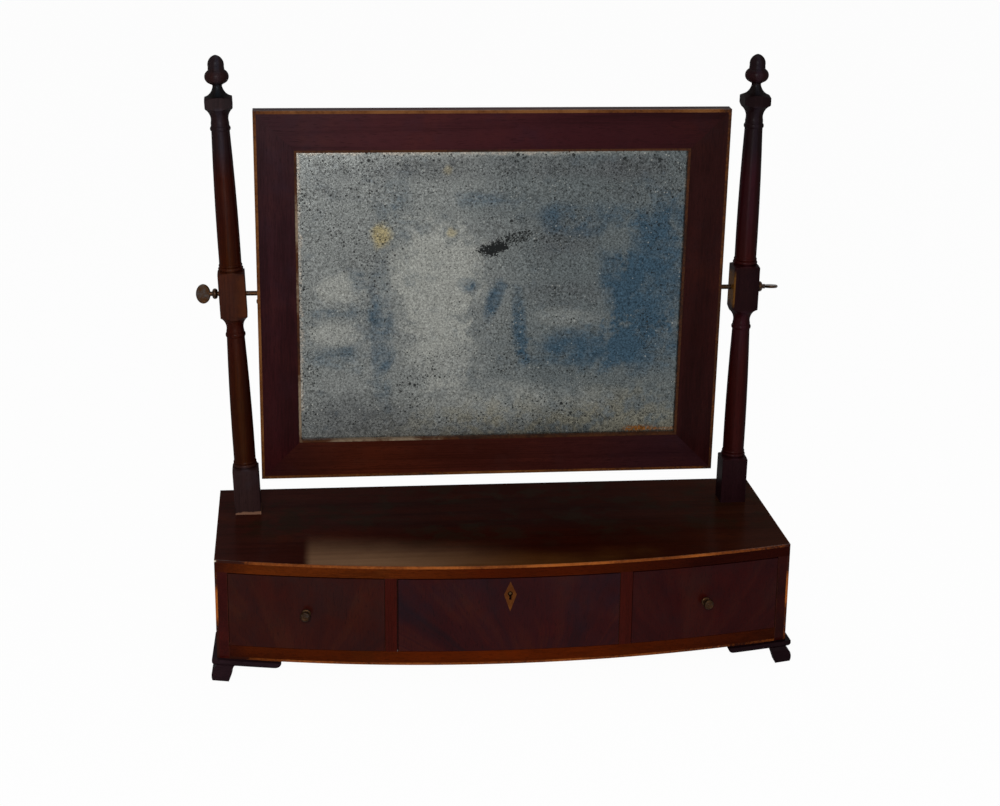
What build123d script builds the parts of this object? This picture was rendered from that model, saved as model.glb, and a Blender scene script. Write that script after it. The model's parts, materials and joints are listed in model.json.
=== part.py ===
from build123d import *
from math import asin, atan, cos, degrees, radians, sin, sqrt, tan
import os

os.makedirs("parts", exist_ok=True)

# A bow-fronted dressing-table mirror: a box of three drawers on bracket feet, two turned posts,
# and a framed looking glass that swings between them on two thumb screws.
# Millimetres. +X is to the right of someone facing it, -Y is towards them, +Z is up.
# The origin is on the table, in the middle of the box's width and of its overall depth.

# ---- Box
box_width = 560.0
box_end_depth = 198.0          # front to back at each end
bow_rise = 36.0                # how much further forward the middle of the front stands
box_height = 101.0
foot_height = 22.0
top_board_thickness = 12.0
bottom_board_thickness = 14.0
side_board_thickness = 12.0
back_board_thickness = 8.0
back_board_housing = 6.0       # how far the back board's edges are let into the sides
partition_thickness = 12.0
centre_bay_width = 214.0
facing_thickness = 1.5         # mahogany edging on the front edges of the boards
string_width = 2.4             # light line let into the arrises of the front
stop_length, stop_depth, stop_height = 24.0, 8.0, 4.0
stop_gap = 0.3                 # between a closed drawer's front and its stops
stop_position = 0.25           # stops stand this share of a drawer's width in from its ends

# ---- Bracket feet
foot_projection = 5.8          # of the pad, beyond the box
foot_strip_projection = 5.0    # of the moulded strip under the box
foot_waist_projection = 0.5    # of the quirk between strip and pad
foot_waist_drop = 0.8          # from the strip's underside to the quirk
foot_toe_curve = 0.8           # the pad's face falls back this much at the table
foot_inner_depth = 8.0         # bracket timber behind the face of the box
foot_tuck = 5.0                # the side mouldings die away by this much at the back
foot_strip_height = 6.0
foot_length = 67.5             # along the box, from the corner
foot_end_round = 9.5           # length of the rounded end of the strip
foot_pad_floor, foot_pad_top = 16.5, 20.5
foot_pad_curve = 5.0           # hollow between pad and strip
foot_block_size, foot_block_length = 12.0, 38.0
foot_block_height = 6.0        # glue blocks are hidden behind the moulded strip

# ---- Drawers
drawer_front_thickness = 14.0
drawer_board_thickness = 6.0
drawer_bottom_thickness = 4.0
drawer_bottom_rise = 6.0       # from the sides' lower edges to the bottom panel
drawer_groove_depth = 2.5
drawer_groove_play = 0.3
drawer_side_play = 0.5         # each side
drawer_front_top_play = 0.9
drawer_front_bottom_play = 0.3
drawer_side_top_play = 2.5
drawer_back_top_play = 6.5
drawer_back_play = 4.0         # between a closed drawer and the back board
drawer_back_inset = 3.0        # the sides run on past the back board of the drawer
tail_count = 3
tail_tip_share, tail_root_share = 0.36, 0.27   # half width of a dovetail, as a share of their pitch
tail_cover = 4.0               # wood left over the tails in the front

# ---- Drawer knobs
knob_rose_radius, knob_rose_height = 4.5, 1.6
knob_neck_radius, knob_root_radius, knob_neck_height = 2.1, 2.6, 4.6
knob_head_radius, knob_height = 4.9, 10.5
knob_dish_radius, knob_dish_depth = 3.2, 1.0
knob_boss_radius, knob_boss_height = 1.3, 0.6
knob_stem_radius, knob_stem_play = 1.5, 0.1
knob_nut_size, knob_nut_thickness = 7.0, 2.5
knob_nut_gap = 0.05            # the nut's flat face stands off the curve behind the front
knob_stem_end = 1.0            # stem beyond its nut
tip_flat = 0.3                 # radius left flat at the tip of a domed end

# ---- Lock and keyhole plate
lock_width, lock_height, lock_depth = 38.0, 27.0, 8.0
lock_wall, lock_margin = 1.4, 5.5
lock_screw_radius, lock_screw_length, lock_screw_head = 1.2, 11.0, 2.2
lock_screw_edge = 3.6          # from the case's upper and lower edges
bolt_width, bolt_thickness, bolt_play = 12.0, 3.0, 0.2
bolt_tail_width, bolt_tail_low, bolt_tail_height = 18.0, 3.4, 5.0
bolt_notch_radius = 2.6
bolt_throw = 5.0
strike_play = 1.0
keyhole_drop = 15.7            # from the drawer front's upper edge
keyhole_radius, keyhole_slot_width, keyhole_slot_drop = 2.4, 2.2, 6.2
lock_pin_radius, lock_pin_setback = 1.2, 1.0
kite_rise, kite_fall, kite_half_width, kite_thickness = 13.2, 17.5, 6.1, 1.0
kite_drop = 16.4               # from the drawer front's upper edge to the kite's widest point

# ---- Posts
post_spacing = 499.0           # between the two, at the box
post_from_back = 62.5
left_lean, right_lean = 2.49, 0.8      # degrees outwards, as the old posts stand
post_square = 26.0
tenon_radius, tenon_play = 8.0, 0.1
lower_block_top = 47.0         # heights are above the box
pivot_block_low, pivot_block_high = 204.5, 249.8
capital_low, capital_high = 410.5, 421.0
shoulder_height = 2.2          # run of a turned shoulder, from a flat to the corners
under_shoulder_height = 3.4    # the same, under a square
crown_height, crown_radius = 2.6, 12.8       # the capital's corners, turned off at its top
post_edge_radius = 0.8
column_foot_radius, column_head_radius = 10.9, 8.85
column_swell = 0.7             # fullness of the taper at mid height
bead_radius, bead_half_height = 12.3, 2.0
small_bead_radius, small_bead_half_height = 11.6, 1.3
ring_radius, ring_half_height = 9.9, 2.5
lower_ring_height, upper_ring_height = 186.0, 390.4
bell_height = 14.5             # hollow flare between a ring and the square above it
bell_mid_radius, bell_top_radius = 10.1, 12.9
bell_mid_share = 0.66
pin_fit = 0.08                 # radial play of a screw in its post

# ---- Finials
finial_seat_radius, finial_neck_radius, finial_neck_height = 12.4, 4.6, 9.5
finial_flare_radius, finial_flare_height = 6.6, 4.6
cup_low, cup_widest, cup_top = 12.2, 18.4, 24.4      # heights above the capital
cup_radius, cup_foot_radius = 11.6, 7.0
nut_radius, nut_shoulder_height, nut_round_height, nut_tip_height = 8.0, 28.5, 35.4, 39.3
nut_shoulder_radius, nut_round_radius = 7.7, 6.15
dowel_radius, dowel_length, dowel_play = 3.0, 10.0, 0.1

# ---- Looking glass
frame_width = 464.0
frame_above_pivot, frame_below_pivot = 182.5, 195.0
frame_face = 38.5
frame_thickness = 14.0
glass_tilt = 3.2               # degrees, the top of the glass forwards
pivot_above_box = 227.0
rebate_width, rebate_depth = 6.0, 9.0
glass_play = 0.5
glass_thickness = 3.0
backboard_thickness = 4.0
slip_width = 2.4
slip_setback = 0.4             # the slip stands this far behind the face of the frame
line_width, line_depth = 3.0, 2.0      # light line round the outer edge of the frame
brad_radius, brad_length, brad_count = 0.8, 14.0, 4
brad_bite = 5.0                # length of a brad in the frame

# ---- Thumb screws and their plates
screw_radius = 2.35
screw_bite = 14.0              # thread beyond the edge of the frame
screw_pocket_play = 0.7
plate_width, plate_height, plate_thickness = 10.0, 32.0, 2.0
plate_fit = 0.05
plate_screw_offset, plate_screw_radius, plate_screw_length = 8.5, 1.2, 9.0
plate_screw_head_radius, plate_screw_head_height = 2.4, 0.9
left_neck_length, right_neck_length = 1.3, 0.6        # between the post and the collar
collar_radius, collar_length = 5.3, 5.2
collar_neck_radius, collar_neck_length = 2.3, 1.6
blade_length, blade_height, blade_thickness = 14.4, 19.6, 2.8
blade_overlap = 1.4            # of the blade and its root
left_turn, right_turn = 0.0, 81.0      # degrees the thumb pieces are turned about their axis

# ---- Derived places
back_y = (box_end_depth + bow_rise) / 2
bow_radius = ((box_width / 2) ** 2 + bow_rise**2) / (2 * bow_rise)
bow_centre_y = bow_radius - back_y
end_y = back_y - box_end_depth
inner_x = box_width / 2 - side_board_thickness
bay_low = foot_height + bottom_board_thickness
box_top = foot_height + box_height
bay_high = box_top - top_board_thickness
partition_x = (centre_bay_width + partition_thickness) / 2
back_inner_y = back_y - back_board_thickness
drawer_end_y = back_inner_y - drawer_back_play
front_low, front_high = bay_low + drawer_front_bottom_play, bay_high - drawer_front_top_play
knob_x = (inner_x + centre_bay_width / 2 + partition_thickness) / 2
knob_z = (front_low + front_high) / 2
keyhole_z = front_high - keyhole_drop
kite_z = front_high - kite_drop
post_x = post_spacing / 2
post_y = back_y - post_from_back
pivot_z = box_top + pivot_above_box
left_pivot_x = -post_x - pivot_above_box * tan(radians(left_lean))
right_pivot_x = post_x + pivot_above_box * tan(radians(right_lean))
mirror_x = (left_pivot_x + right_pivot_x) / 2
corner_radius = post_square * sqrt(0.5) + 0.2
all_low = (Align.MIN, Align.MIN, Align.MIN)
upright = (Align.CENTER, Align.CENTER, Align.MIN)


# ---- Shapes that the pieces share
def save(name, *solids):
    """Write a sub-part; several solids are one group of the same piece."""
    shape = solids[0] if len(solids) == 1 else Compound(children=list(solids))
    export_step(shape, f"parts/{name}.step")


def block(x, y, z):
    """A rectangular piece between two values on each axis."""
    return Pos(x[0], y[0], z[0]) * Box(x[1] - x[0], y[1] - y[0], z[1] - z[0], align=all_low)


def bow_y(x, inset=0.0):
    """Where the bowed front stands at x, or a surface set back from it."""
    return bow_centre_y - sqrt((bow_radius - inset) ** 2 - x**2)


def bow_edge(x_low, x_high, inset):
    """The arc of the bow between two x values, seen from above."""
    xs = (x_low, (x_low + x_high) / 2, x_high)
    return ThreePointArc(*[(x, bow_y(x, inset)) for x in xs])


def rise(edges, z_low, z_high):
    """A prism on a closed outline seen from above."""
    return Pos(0, 0, z_low) * extrude(make_face(edges), z_high - z_low, dir=(0, 0, 1))


def bowed_board(x_low, x_high, y_high, inset, z_low, z_high):
    """A board with a bowed front edge and a straight back."""
    back = Polyline(
        (x_high, bow_y(x_high, inset)), (x_high, y_high), (x_low, y_high), (x_low, bow_y(x_low, inset))
    )
    return rise([bow_edge(x_low, x_high, inset), back], z_low, z_high)


def bowed_strip(x_low, x_high, inset_front, inset_back, z_low, z_high):
    """A slat whose two faces both follow the bow."""
    ends = [
        Line((x, bow_y(x, inset_front)), (x, bow_y(x, inset_back))) for x in (x_low, x_high)
    ]
    arcs = [bow_edge(x_low, x_high, inset) for inset in (inset_front, inset_back)]
    return rise(arcs + ends, z_low, z_high)


def side_prism(points, x_low, x_high):
    """A prism along X on an outline of (y, z) points."""
    face = make_face(Polyline(*[(0, y, z) for y, z in points], close=True))
    return Pos(x_low, 0, 0) * extrude(face, x_high - x_low, dir=(1, 0, 0))


def front_prism(edges, y_low, y_high):
    """A prism along Y on an outline drawn in the XZ plane."""
    return Pos(0, y_low, 0) * extrude(make_face(edges), y_high - y_low, dir=(0, 1, 0))


def turned(start, *runs):
    """A solid turned about Z. A run is an end point, or a point passed and an end point;
    points are (radius, height), and the outline starts and ends on the axis."""
    edges, here = [], start
    for run in runs:
        stops = [here, *run] if isinstance(run[0], tuple) else [here, run]
        points = [(radius, 0, height) for radius, height in stops]
        edges.append(Line(*points) if len(points) == 2 else ThreePointArc(*points))
        here = stops[-1]
    edges.append(Line((here[0], 0, here[1]), (start[0], 0, start[1])))
    return revolve(make_face(edges), Axis.Z)


def bead(height, core_radius, radius, half_height):
    """Runs of a turned bead that stands on a core."""
    return [
        (core_radius, height - half_height),
        ((radius, height), (core_radius, height + half_height)),
    ]


def along(axis_angle, x, z, shape):
    """Lay a shape made along Z along X, from x on the pivots' line."""
    return Pos(x, post_y, z) * Rot(Y=axis_angle) * shape


# ---- Box
def top_board():
    board = bowed_board(-box_width / 2, box_width / 2, back_y, facing_thickness, bay_high, box_top)
    strike_y = lock_middle_y()
    half_x = bolt_width / 2 + strike_play
    half_y = bolt_thickness / 2 + strike_play
    mortise = block(
        (-half_x, half_x), (strike_y - half_y, strike_y + half_y),
        (bay_high, bay_high + bolt_throw + strike_play),
    )
    holes = [post_place(side) * tenon(tenon_play) for side in (-1, 1)]
    return board - mortise - holes[0] - holes[1]


def side_board(side):
    """An end of the box, rebated for the back board and for the light line."""
    half = box_width / 2
    board = bowed_board(-half, -inner_x, back_y, 0, foot_height, bay_high)
    rebate_x = (-inner_x - back_board_housing, -inner_x)
    board -= block(rebate_x, (back_inner_y, back_y), (foot_height, bay_high))
    board -= side_string()
    return board if side < 0 else mirror(board, about=Plane.YZ)


def side_string():
    half = box_width / 2
    return bowed_strip(-half, -half + string_width, 0, facing_thickness, foot_height, bay_high)


def box_pieces():
    half = box_width / 2
    string_top = box_top - string_width
    string_bottom = foot_height + string_width
    save("top_board", top_board())
    save("top_facing", bowed_strip(-half, half, 0, facing_thickness, bay_high, string_top))
    save(
        "bottom_board",
        bowed_board(-inner_x, inner_x, back_inner_y, facing_thickness, foot_height, bay_low),
    )
    save(
        "bottom_facing",
        bowed_strip(-inner_x, inner_x, 0, facing_thickness, string_bottom, bay_low),
    )
    save(
        "front_stringing",
        bowed_strip(-half, half, 0, facing_thickness, string_top, box_top),
        bowed_strip(-inner_x, inner_x, 0, facing_thickness, foot_height, string_bottom),
        side_string(),
        mirror(side_string(), about=Plane.YZ),
    )
    save("left_side", side_board(-1))
    save("right_side", side_board(1))
    back_half = inner_x + back_board_housing
    save("back_board", block((-back_half, back_half), (back_inner_y, back_y), (foot_height, bay_high)))


def partitions():
    facings = []
    for name, x in (("left", -partition_x), ("right", partition_x)):
        low, high = x - partition_thickness / 2, x + partition_thickness / 2
        save(
            f"{name}_partition",
            bowed_board(low, high, back_inner_y, facing_thickness, bay_low, bay_high),
        )
        facings.append(bowed_strip(low, high, 0, facing_thickness, bay_low, bay_high))
    save("partition_facings", *facings)


def drawer_stops():
    """Blocks on the bottom board that a closed drawer front meets."""
    front = drawer_front_thickness + stop_gap
    stops = []
    for low, high in bays().values():
        for share in (stop_position, 1 - stop_position):
            x = low + share * (high - low)
            stops.append(
                bowed_strip(
                    x - stop_length / 2, x + stop_length / 2,
                    front, front + stop_depth, bay_low, bay_low + stop_height,
                )
            )
    save("drawer_stops", *stops)


# ---- Bracket feet
def foot_section(origin, inner_depth=foot_inner_depth):
    """The moulded section of a bracket, drawn outwards from the face of the box."""
    strip_low = foot_height - foot_strip_height
    points = lambda *pairs: [(origin + out, 0, z) for out, z in pairs]
    toe = (foot_projection - foot_toe_curve, 0)
    ankle = (foot_projection - foot_toe_curve, 0.6 * strip_low)
    waist = (foot_waist_projection, strip_low - foot_waist_drop)
    lip = (foot_strip_projection, strip_low + foot_strip_height / 2)
    back = [(foot_strip_projection, foot_height), (-inner_depth, foot_height), (-inner_depth, 0)]
    lower = ThreePointArc(*points(toe, (foot_projection, 0.3 * strip_low), ankle))
    hollow = ThreePointArc(*points(ankle, (foot_waist_projection + 1.3, 0.82 * strip_low), waist))
    swell = ThreePointArc(*points(waist, (foot_strip_projection - 0.9, strip_low + 1.2), lip))
    return make_face([lower, hollow, swell, Polyline(*points(lip, *back, toe))])


def foot_outline():
    """The cut-out face of a bracket: its pad, the hollow above it and the strip's rounded end."""
    strip_low = foot_height - foot_strip_height
    end = foot_length - foot_end_round
    pad = Polyline((0, 0, 0), (foot_pad_floor, 0, 0), (foot_pad_top, 0, strip_low - foot_pad_curve))
    hollow = ThreePointArc(
        (foot_pad_top, 0, strip_low - foot_pad_curve),
        (foot_pad_top + 0.3 * foot_pad_curve, 0, strip_low - 0.3 * foot_pad_curve),
        (foot_pad_top + foot_pad_curve, 0, strip_low),
    )
    under = Line((foot_pad_top + foot_pad_curve, 0, strip_low), (end, 0, strip_low))
    tip = ThreePointArc(
        (end, 0, strip_low),
        (end + 0.72 * foot_end_round, 0, strip_low + 0.32 * foot_strip_height),
        (foot_length, 0, foot_height),
    )
    rest = Polyline((foot_length, 0, foot_height), (0, 0, foot_height), (0, 0, 0))
    return [pad, hollow, under, tip, rest]


def mitre_half(keep_front):
    """The part of the plan on one side of the front corner's mitre."""
    half = box_width / 2
    bow_angle = asin(half / bow_radius)
    slope = (1 - sin(bow_angle)) / cos(bow_angle)
    reach = 2 * foot_projection
    span = 2 * foot_inner_depth
    outer = (-half - reach, end_y - slope * reach)
    inner = (-half + span, end_y + slope * span)
    if keep_front:
        far_x, far_y = foot_length - half, end_y - 2 * bow_rise
        far = [(far_x, end_y + slope * span), (far_x, far_y), (-half - reach, far_y)]
    else:
        far = [(-half + span, back_y), (-half - reach, back_y)]
    return rise(Polyline(outer, inner, *far, close=True), 0, foot_height)


def front_bracket():
    """The left front bracket, which follows the bow."""
    start = box_width / 2 + foot_projection
    sweep = degrees(asin((box_width / 2 + 2 * foot_projection) / bow_radius))
    section = Rot(Z=-90 - sweep) * foot_section(bow_radius)
    ring = Pos(0, bow_centre_y, 0) * revolve(section, Axis.Z, sweep)
    outline = Pos(-start, 0, 0) * front_prism(foot_outline(), end_y - 2 * bow_rise, back_y)
    return ring & outline & mitre_half(True)


def side_rail(y_low, y_high):
    """A length of the left side's moulding, which dies away evenly from the front to the back
    while its inner face stays in one plane."""
    start = end_y - foot_projection
    slope = foot_tuck / (back_y - start)
    section = Rot(Z=180) * foot_section(box_width / 2, foot_inner_depth + 1)
    rail = extrude(section, y_high - y_low + 2, dir=(slope, 1, 0))
    inner = foot_inner_depth - box_width / 2
    keep = block((-box_width, inner), (y_low, y_high), (0, foot_height))
    return Pos(slope * (y_low - 1 - start), y_low - 1, 0) * rail & keep


def side_bracket():
    """The left front side bracket."""
    start = end_y - foot_projection
    rail = side_rail(start - foot_projection, start + foot_length + foot_projection)
    outline = Pos(0, start, 0) * Rot(Z=90) * front_prism(foot_outline(), 0, box_width)
    return rail & outline & mitre_half(False)


def rear_bracket():
    """The left rear bracket, which ends square at the back."""
    rail = side_rail(back_y - foot_length, back_y)
    outline = Pos(0, back_y, 0) * Rot(Z=-90) * front_prism(foot_outline(), -box_width, 0)
    return rail & outline


def foot_blocks():
    """Glue blocks under the box, behind the left feet."""
    low = foot_inner_depth - box_width / 2
    z_low = foot_height - foot_block_height
    front_y = bow_y(low, foot_inner_depth) + foot_block_size
    front = bowed_board(low, low + foot_block_length, front_y, foot_inner_depth, z_low, foot_height)
    rear = block(
        (low, low + foot_block_size), (back_y - foot_block_length, back_y), (z_low, foot_height)
    )
    return [front, rear]


def feet():
    pieces = {
        "front_foot_bracket": front_bracket(),
        "front_foot_side_bracket": side_bracket(),
        "rear_foot_bracket": rear_bracket(),
    }
    for name, piece in pieces.items():
        save(f"left_{name}", piece)
        save(f"right_{name}", mirror(piece, about=Plane.YZ))
    blocks = foot_blocks()
    save("foot_blocks", *blocks, *[mirror(one, about=Plane.YZ) for one in blocks])


# ---- Drawers
def bays():
    """The low and high x of each drawer's bay."""
    centre = centre_bay_width / 2
    side = centre + partition_thickness
    return {"left": (-inner_x, -side), "centre": (-centre, centre), "right": (side, inner_x)}


def dovetails(low, high, tip_y, root_y):
    """Tails on the front end of a drawer side, wider at the tip."""
    side_height = bay_high - drawer_side_top_play - bay_low
    pitch = side_height / tail_count
    tip, root = tail_tip_share * pitch, tail_root_share * pitch
    tails = Part()
    for count in range(tail_count):
        z = bay_low + (count + 0.5) * pitch
        outline = [(tip_y, z - tip), (root_y, z - root), (root_y, z + root), (tip_y, z + tip)]
        tails += side_prism(outline, low, high)
    return tails


def drawer_bottom(low, high, play=0.0):
    """The panel in the grooves; with play, the groove that takes it."""
    reach = drawer_board_thickness - drawer_groove_depth
    z_low = bay_low + drawer_bottom_rise
    inset = drawer_front_thickness - drawer_groove_depth - play
    return bowed_board(
        low + reach, high - reach, drawer_end_y - drawer_back_inset, inset,
        z_low, z_low + drawer_bottom_thickness,
    )


def drawer(name, bay):
    """A drawer's front, two sides, back and bottom, by name."""
    low, high = bay[0] + drawer_side_play, bay[1] - drawer_side_play
    front = bowed_strip(low, high, 0, drawer_front_thickness, front_low, front_high)
    groove = drawer_bottom(low, high, drawer_groove_play)
    side_high = bay_high - drawer_side_top_play
    sides = {}
    places = {
        "left": (low, low + drawer_board_thickness),
        "right": (high - drawer_board_thickness, high),
    }
    for side, x in places.items():
        tip_y = max(bow_y(edge, tail_cover) for edge in x)
        root_y = max(bow_y(edge, drawer_front_thickness) for edge in x)
        board = block(x, (tip_y, drawer_end_y), (bay_low, side_high))
        tails = board & front & dovetails(x[0], x[1], tip_y, root_y)
        front -= tails
        sides[side] = (board - front_envelope(low, high) + tails) - groove
    back_y_high = drawer_end_y - drawer_back_inset
    back = block(
        (low + drawer_board_thickness, high - drawer_board_thickness),
        (back_y_high - drawer_board_thickness, back_y_high),
        (bay_low + drawer_bottom_rise + drawer_bottom_thickness, bay_high - drawer_back_top_play),
    )
    return {
        f"{name}_drawer_front": front - groove,
        f"{name}_drawer_left_side": sides["left"],
        f"{name}_drawer_right_side": sides["right"],
        f"{name}_drawer_back": back,
        f"{name}_drawer_bottom": drawer_bottom(low, high),
    }


def front_envelope(low, high):
    """The room that a drawer front takes up, over the full height of the bay."""
    return bowed_strip(low, high, 0, drawer_front_thickness, bay_low, bay_high)


def knob():
    """A turned knob along +Z on its seat, with its stem behind."""
    stem_low = -drawer_front_thickness - knob_nut_gap - knob_nut_thickness - knob_stem_end
    rim = knob_height - knob_dish_depth
    return turned(
        (0, stem_low),
        (knob_stem_radius, stem_low),
        (knob_stem_radius, 0),
        (knob_rose_radius, 0),
        ((knob_rose_radius * 0.92, knob_rose_height * 0.7), (knob_root_radius, knob_rose_height)),
        ((knob_neck_radius, knob_neck_height * 0.7), (knob_root_radius, knob_neck_height)),
        ((knob_head_radius, rim - 0.8), (knob_dish_radius + 0.6, knob_height)),
        (knob_dish_radius, rim + 0.3),
        (knob_boss_radius, rim),
        ((knob_boss_radius * 0.7, rim + knob_boss_height * 0.8), (tip_flat, rim + knob_boss_height)),
        (0, rim + knob_boss_height),
    )


def knob_place(side):
    """On the middle of a side drawer's front, square to the bow."""
    x = side * knob_x
    out = Vector(x, bow_y(x) - bow_centre_y, 0).normalized()
    return Plane(origin=(x, bow_y(x), knob_z), z_dir=out, x_dir=(0, 0, 1)).location


def side_drawer(name, side):
    pieces = drawer(name, bays()[name])
    place = knob_place(side)
    hole_depth = drawer_front_thickness + 2 * knob_nut_thickness
    hole = place * Pos(0, 0, -hole_depth) * Cylinder(
        knob_stem_radius + knob_stem_play, hole_depth + knob_height, align=upright
    )
    pieces[f"{name}_drawer_front"] -= hole
    nut = Box(knob_nut_size, knob_nut_size, knob_nut_thickness, align=upright)
    nut -= Cylinder(knob_stem_radius + knob_stem_play, knob_nut_thickness, align=upright)
    pieces[f"{name}_knob"] = place * knob()
    nut_seat = -drawer_front_thickness - knob_nut_gap - knob_nut_thickness
    pieces[f"{name}_knob_nut"] = place * Pos(0, 0, nut_seat) * nut
    for node, piece in pieces.items():
        save(node, piece)


# ---- Lock
def lock_back_y():
    """The inner face of the centre drawer's front, where the lock's edges meet it."""
    return bow_y(lock_width / 2, drawer_front_thickness)


def lock_middle_y():
    return lock_back_y() - lock_depth / 2


def lock_room():
    return block(
        (-lock_width / 2, lock_width / 2),
        (lock_back_y() - lock_depth, lock_back_y()),
        (front_high - lock_height, front_high),
    )


def keyhole(y_low, y_high):
    circle = Pos(0, 0, keyhole_z) * Rot(X=90) * Cylinder(keyhole_radius, 2 * box_end_depth)
    slot = block(
        (-keyhole_slot_width / 2, keyhole_slot_width / 2),
        (-box_end_depth, box_end_depth),
        (keyhole_z - keyhole_slot_drop, keyhole_z),
    )
    reach = block((-lock_width, lock_width), (y_low, y_high), (0, box_top))
    return (circle + slot) & reach


def lock_screw(head_y):
    """A countersunk screw along -Y whose head is flush at head_y."""
    body = turned(
        (0, 0),
        (lock_screw_head, 0),
        (lock_screw_radius, lock_screw_head - lock_screw_radius),
        (lock_screw_radius, lock_screw_length),
        (0, lock_screw_length),
    )
    return Pos(0, head_y, 0) * Rot(X=90) * body


def lock_screws():
    x = (lock_width - lock_margin) / 2
    low, high = front_high - lock_height + lock_screw_edge, front_high - lock_screw_edge
    return [
        Pos(side * x, 0, z) * lock_screw(lock_back_y()) for side in (-1, 1) for z in (low, high)
    ]


def bolt_room(play):
    """The part of the bolt that runs through the case's upper edge, with play round it."""
    half_x, half_y = bolt_width / 2 + play, bolt_thickness / 2 + play
    return block(
        (-half_x, half_x),
        (lock_middle_y() - half_y, lock_middle_y() + half_y),
        (keyhole_z + bolt_tail_low, front_high),
    )


def lock_bolt():
    low = keyhole_z + bolt_tail_low
    half_y = bolt_thickness / 2
    tail = block(
        (-bolt_tail_width / 2, bolt_tail_width / 2),
        (lock_middle_y() - half_y, lock_middle_y() + half_y),
        (low, low + bolt_tail_height),
    )
    notch = Pos(0, lock_middle_y(), low) * Rot(X=90) * Cylinder(bolt_notch_radius, lock_depth)
    return bolt_room(0) + tail - notch


def lock_case(screws):
    """A shallow metal box let into the back of the front, with a pin for the key."""
    half = lock_width / 2 - lock_margin
    cavity = block(
        (-half, half),
        (lock_back_y() - lock_depth + lock_wall, lock_back_y() - lock_wall),
        (front_high - lock_height + lock_wall, front_high - lock_wall),
    )
    pin_front = bow_y(0) + lock_pin_setback
    pin_length = lock_back_y() - lock_wall - pin_front
    pin = Pos(0, lock_back_y() - lock_wall, keyhole_z) * Rot(X=90) * Cylinder(
        lock_pin_radius, pin_length, align=upright
    )
    case = lock_room() - cavity - bolt_room(bolt_play)
    case -= keyhole(lock_back_y() - 2 * lock_depth, lock_middle_y())
    for screw in screws:
        case -= screw
    return case + pin


def kite():
    """The inlaid keyhole plate, pierced for the key."""
    outline = Polyline(
        (0, 0, kite_z + kite_rise), (kite_half_width, 0, kite_z),
        (0, 0, kite_z - kite_fall), (-kite_half_width, 0, kite_z), close=True,
    )
    prism = front_prism(outline, -box_end_depth, 0)
    return prism & bowed_strip(-lock_width, lock_width, 0, kite_thickness, front_low, front_high)


def centre_drawer():
    pieces = drawer("centre", bays()["centre"])
    screws = lock_screws()
    key_way = keyhole(-box_end_depth, lock_middle_y())
    front = pieces["centre_drawer_front"] - kite() - lock_room() - key_way
    for screw in screws:
        front -= screw
    pieces["centre_drawer_front"] = front
    pieces["keyhole_plate"] = kite() - key_way
    pieces["lock_case"] = lock_case(screws)
    pieces["lock_bolt"] = lock_bolt()
    for node, piece in pieces.items():
        save(node, piece)
    save("lock_screws", *screws)


# ---- Posts and finials
def post_place(side):
    """The foot of a post on the box, leaning outwards."""
    lean = -left_lean if side < 0 else right_lean
    return Pos(side * post_x, post_y, box_top) * Rot(Y=lean)


def tenon(play=0.0):
    """The round tenon under a post, which runs through the top board."""
    length = 2 * top_board_thickness
    return Pos(0, 0, -length) * Cylinder(tenon_radius + play, length, align=upright)


def column(z_low, z_high):
    """Runs of a tapered column, full in the middle."""
    middle = (column_foot_radius + column_head_radius) / 2 + column_swell
    return [
        (column_foot_radius, z_low),
        ((middle, (z_low + z_high) / 2), (column_head_radius, z_high)),
    ]


def shaft(block_top, ring_height, block_above):
    """Runs from one square up to the next: two beads, a column, a ring and a bell."""
    bead_height = block_top + shoulder_height / 2 + bead_half_height
    small_height = bead_height + bead_half_height + small_bead_half_height
    bell_low, bell_top = block_above - bell_height, block_above - under_shoulder_height / 2
    core = column_foot_radius
    return [
        (corner_radius, block_top - shoulder_height / 2),
        (core, block_top + shoulder_height / 2),
        *bead(bead_height, core, bead_radius, bead_half_height)[1:],
        *bead(small_height, core, small_bead_radius, small_bead_half_height)[1:],
        *column(small_height + small_bead_half_height + 1, ring_height - ring_half_height)[1:],
        *bead(ring_height, column_head_radius, ring_radius, ring_half_height)[1:],
        (column_head_radius, max(bell_low, ring_height + ring_half_height + 1)),
        ((bell_mid_radius, bell_low + bell_mid_share * bell_height), (bell_top_radius, bell_top)),
        (corner_radius, block_above + under_shoulder_height / 2),
    ]


def post(side):
    """A square post with two turned shafts, bored for its thumb screw."""
    low = -post_square * sin(radians(max(left_lean, right_lean)))
    square = Pos(0, 0, low) * extrude(
        RectangleRounded(post_square, post_square, post_edge_radius), capital_high - low
    )
    lathe = turned(
        (0, low),
        (corner_radius, low),
        *shaft(lower_block_top, lower_ring_height, pivot_block_low),
        *shaft(pivot_block_high, upper_ring_height, capital_low),
        (corner_radius, capital_high - crown_height),
        (crown_radius, capital_high),
        (0, capital_high),
    )
    above = block((-box_width, box_width), (-box_width, box_width), (box_top, 2 * box_width))
    within = block((-box_width, box_width), (-box_width, box_width), (bay_high, box_top))
    place = post_place(side)
    body = (place * ((square & lathe) - dowel(dowel_play))) & above
    body += (place * tenon()) & within
    bore = along(90, 0, pivot_z, Cylinder(screw_radius + pin_fit, 2 * box_width))
    near_x = (side * post_x - frame_face, side * post_x + frame_face)
    return body - (bore & block(near_x, (-box_width, box_width), (0, box_width)))


def dowel(play=0.0):
    return Pos(0, 0, capital_high - dowel_length) * Cylinder(
        dowel_radius + play, dowel_length, align=upright
    )


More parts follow.
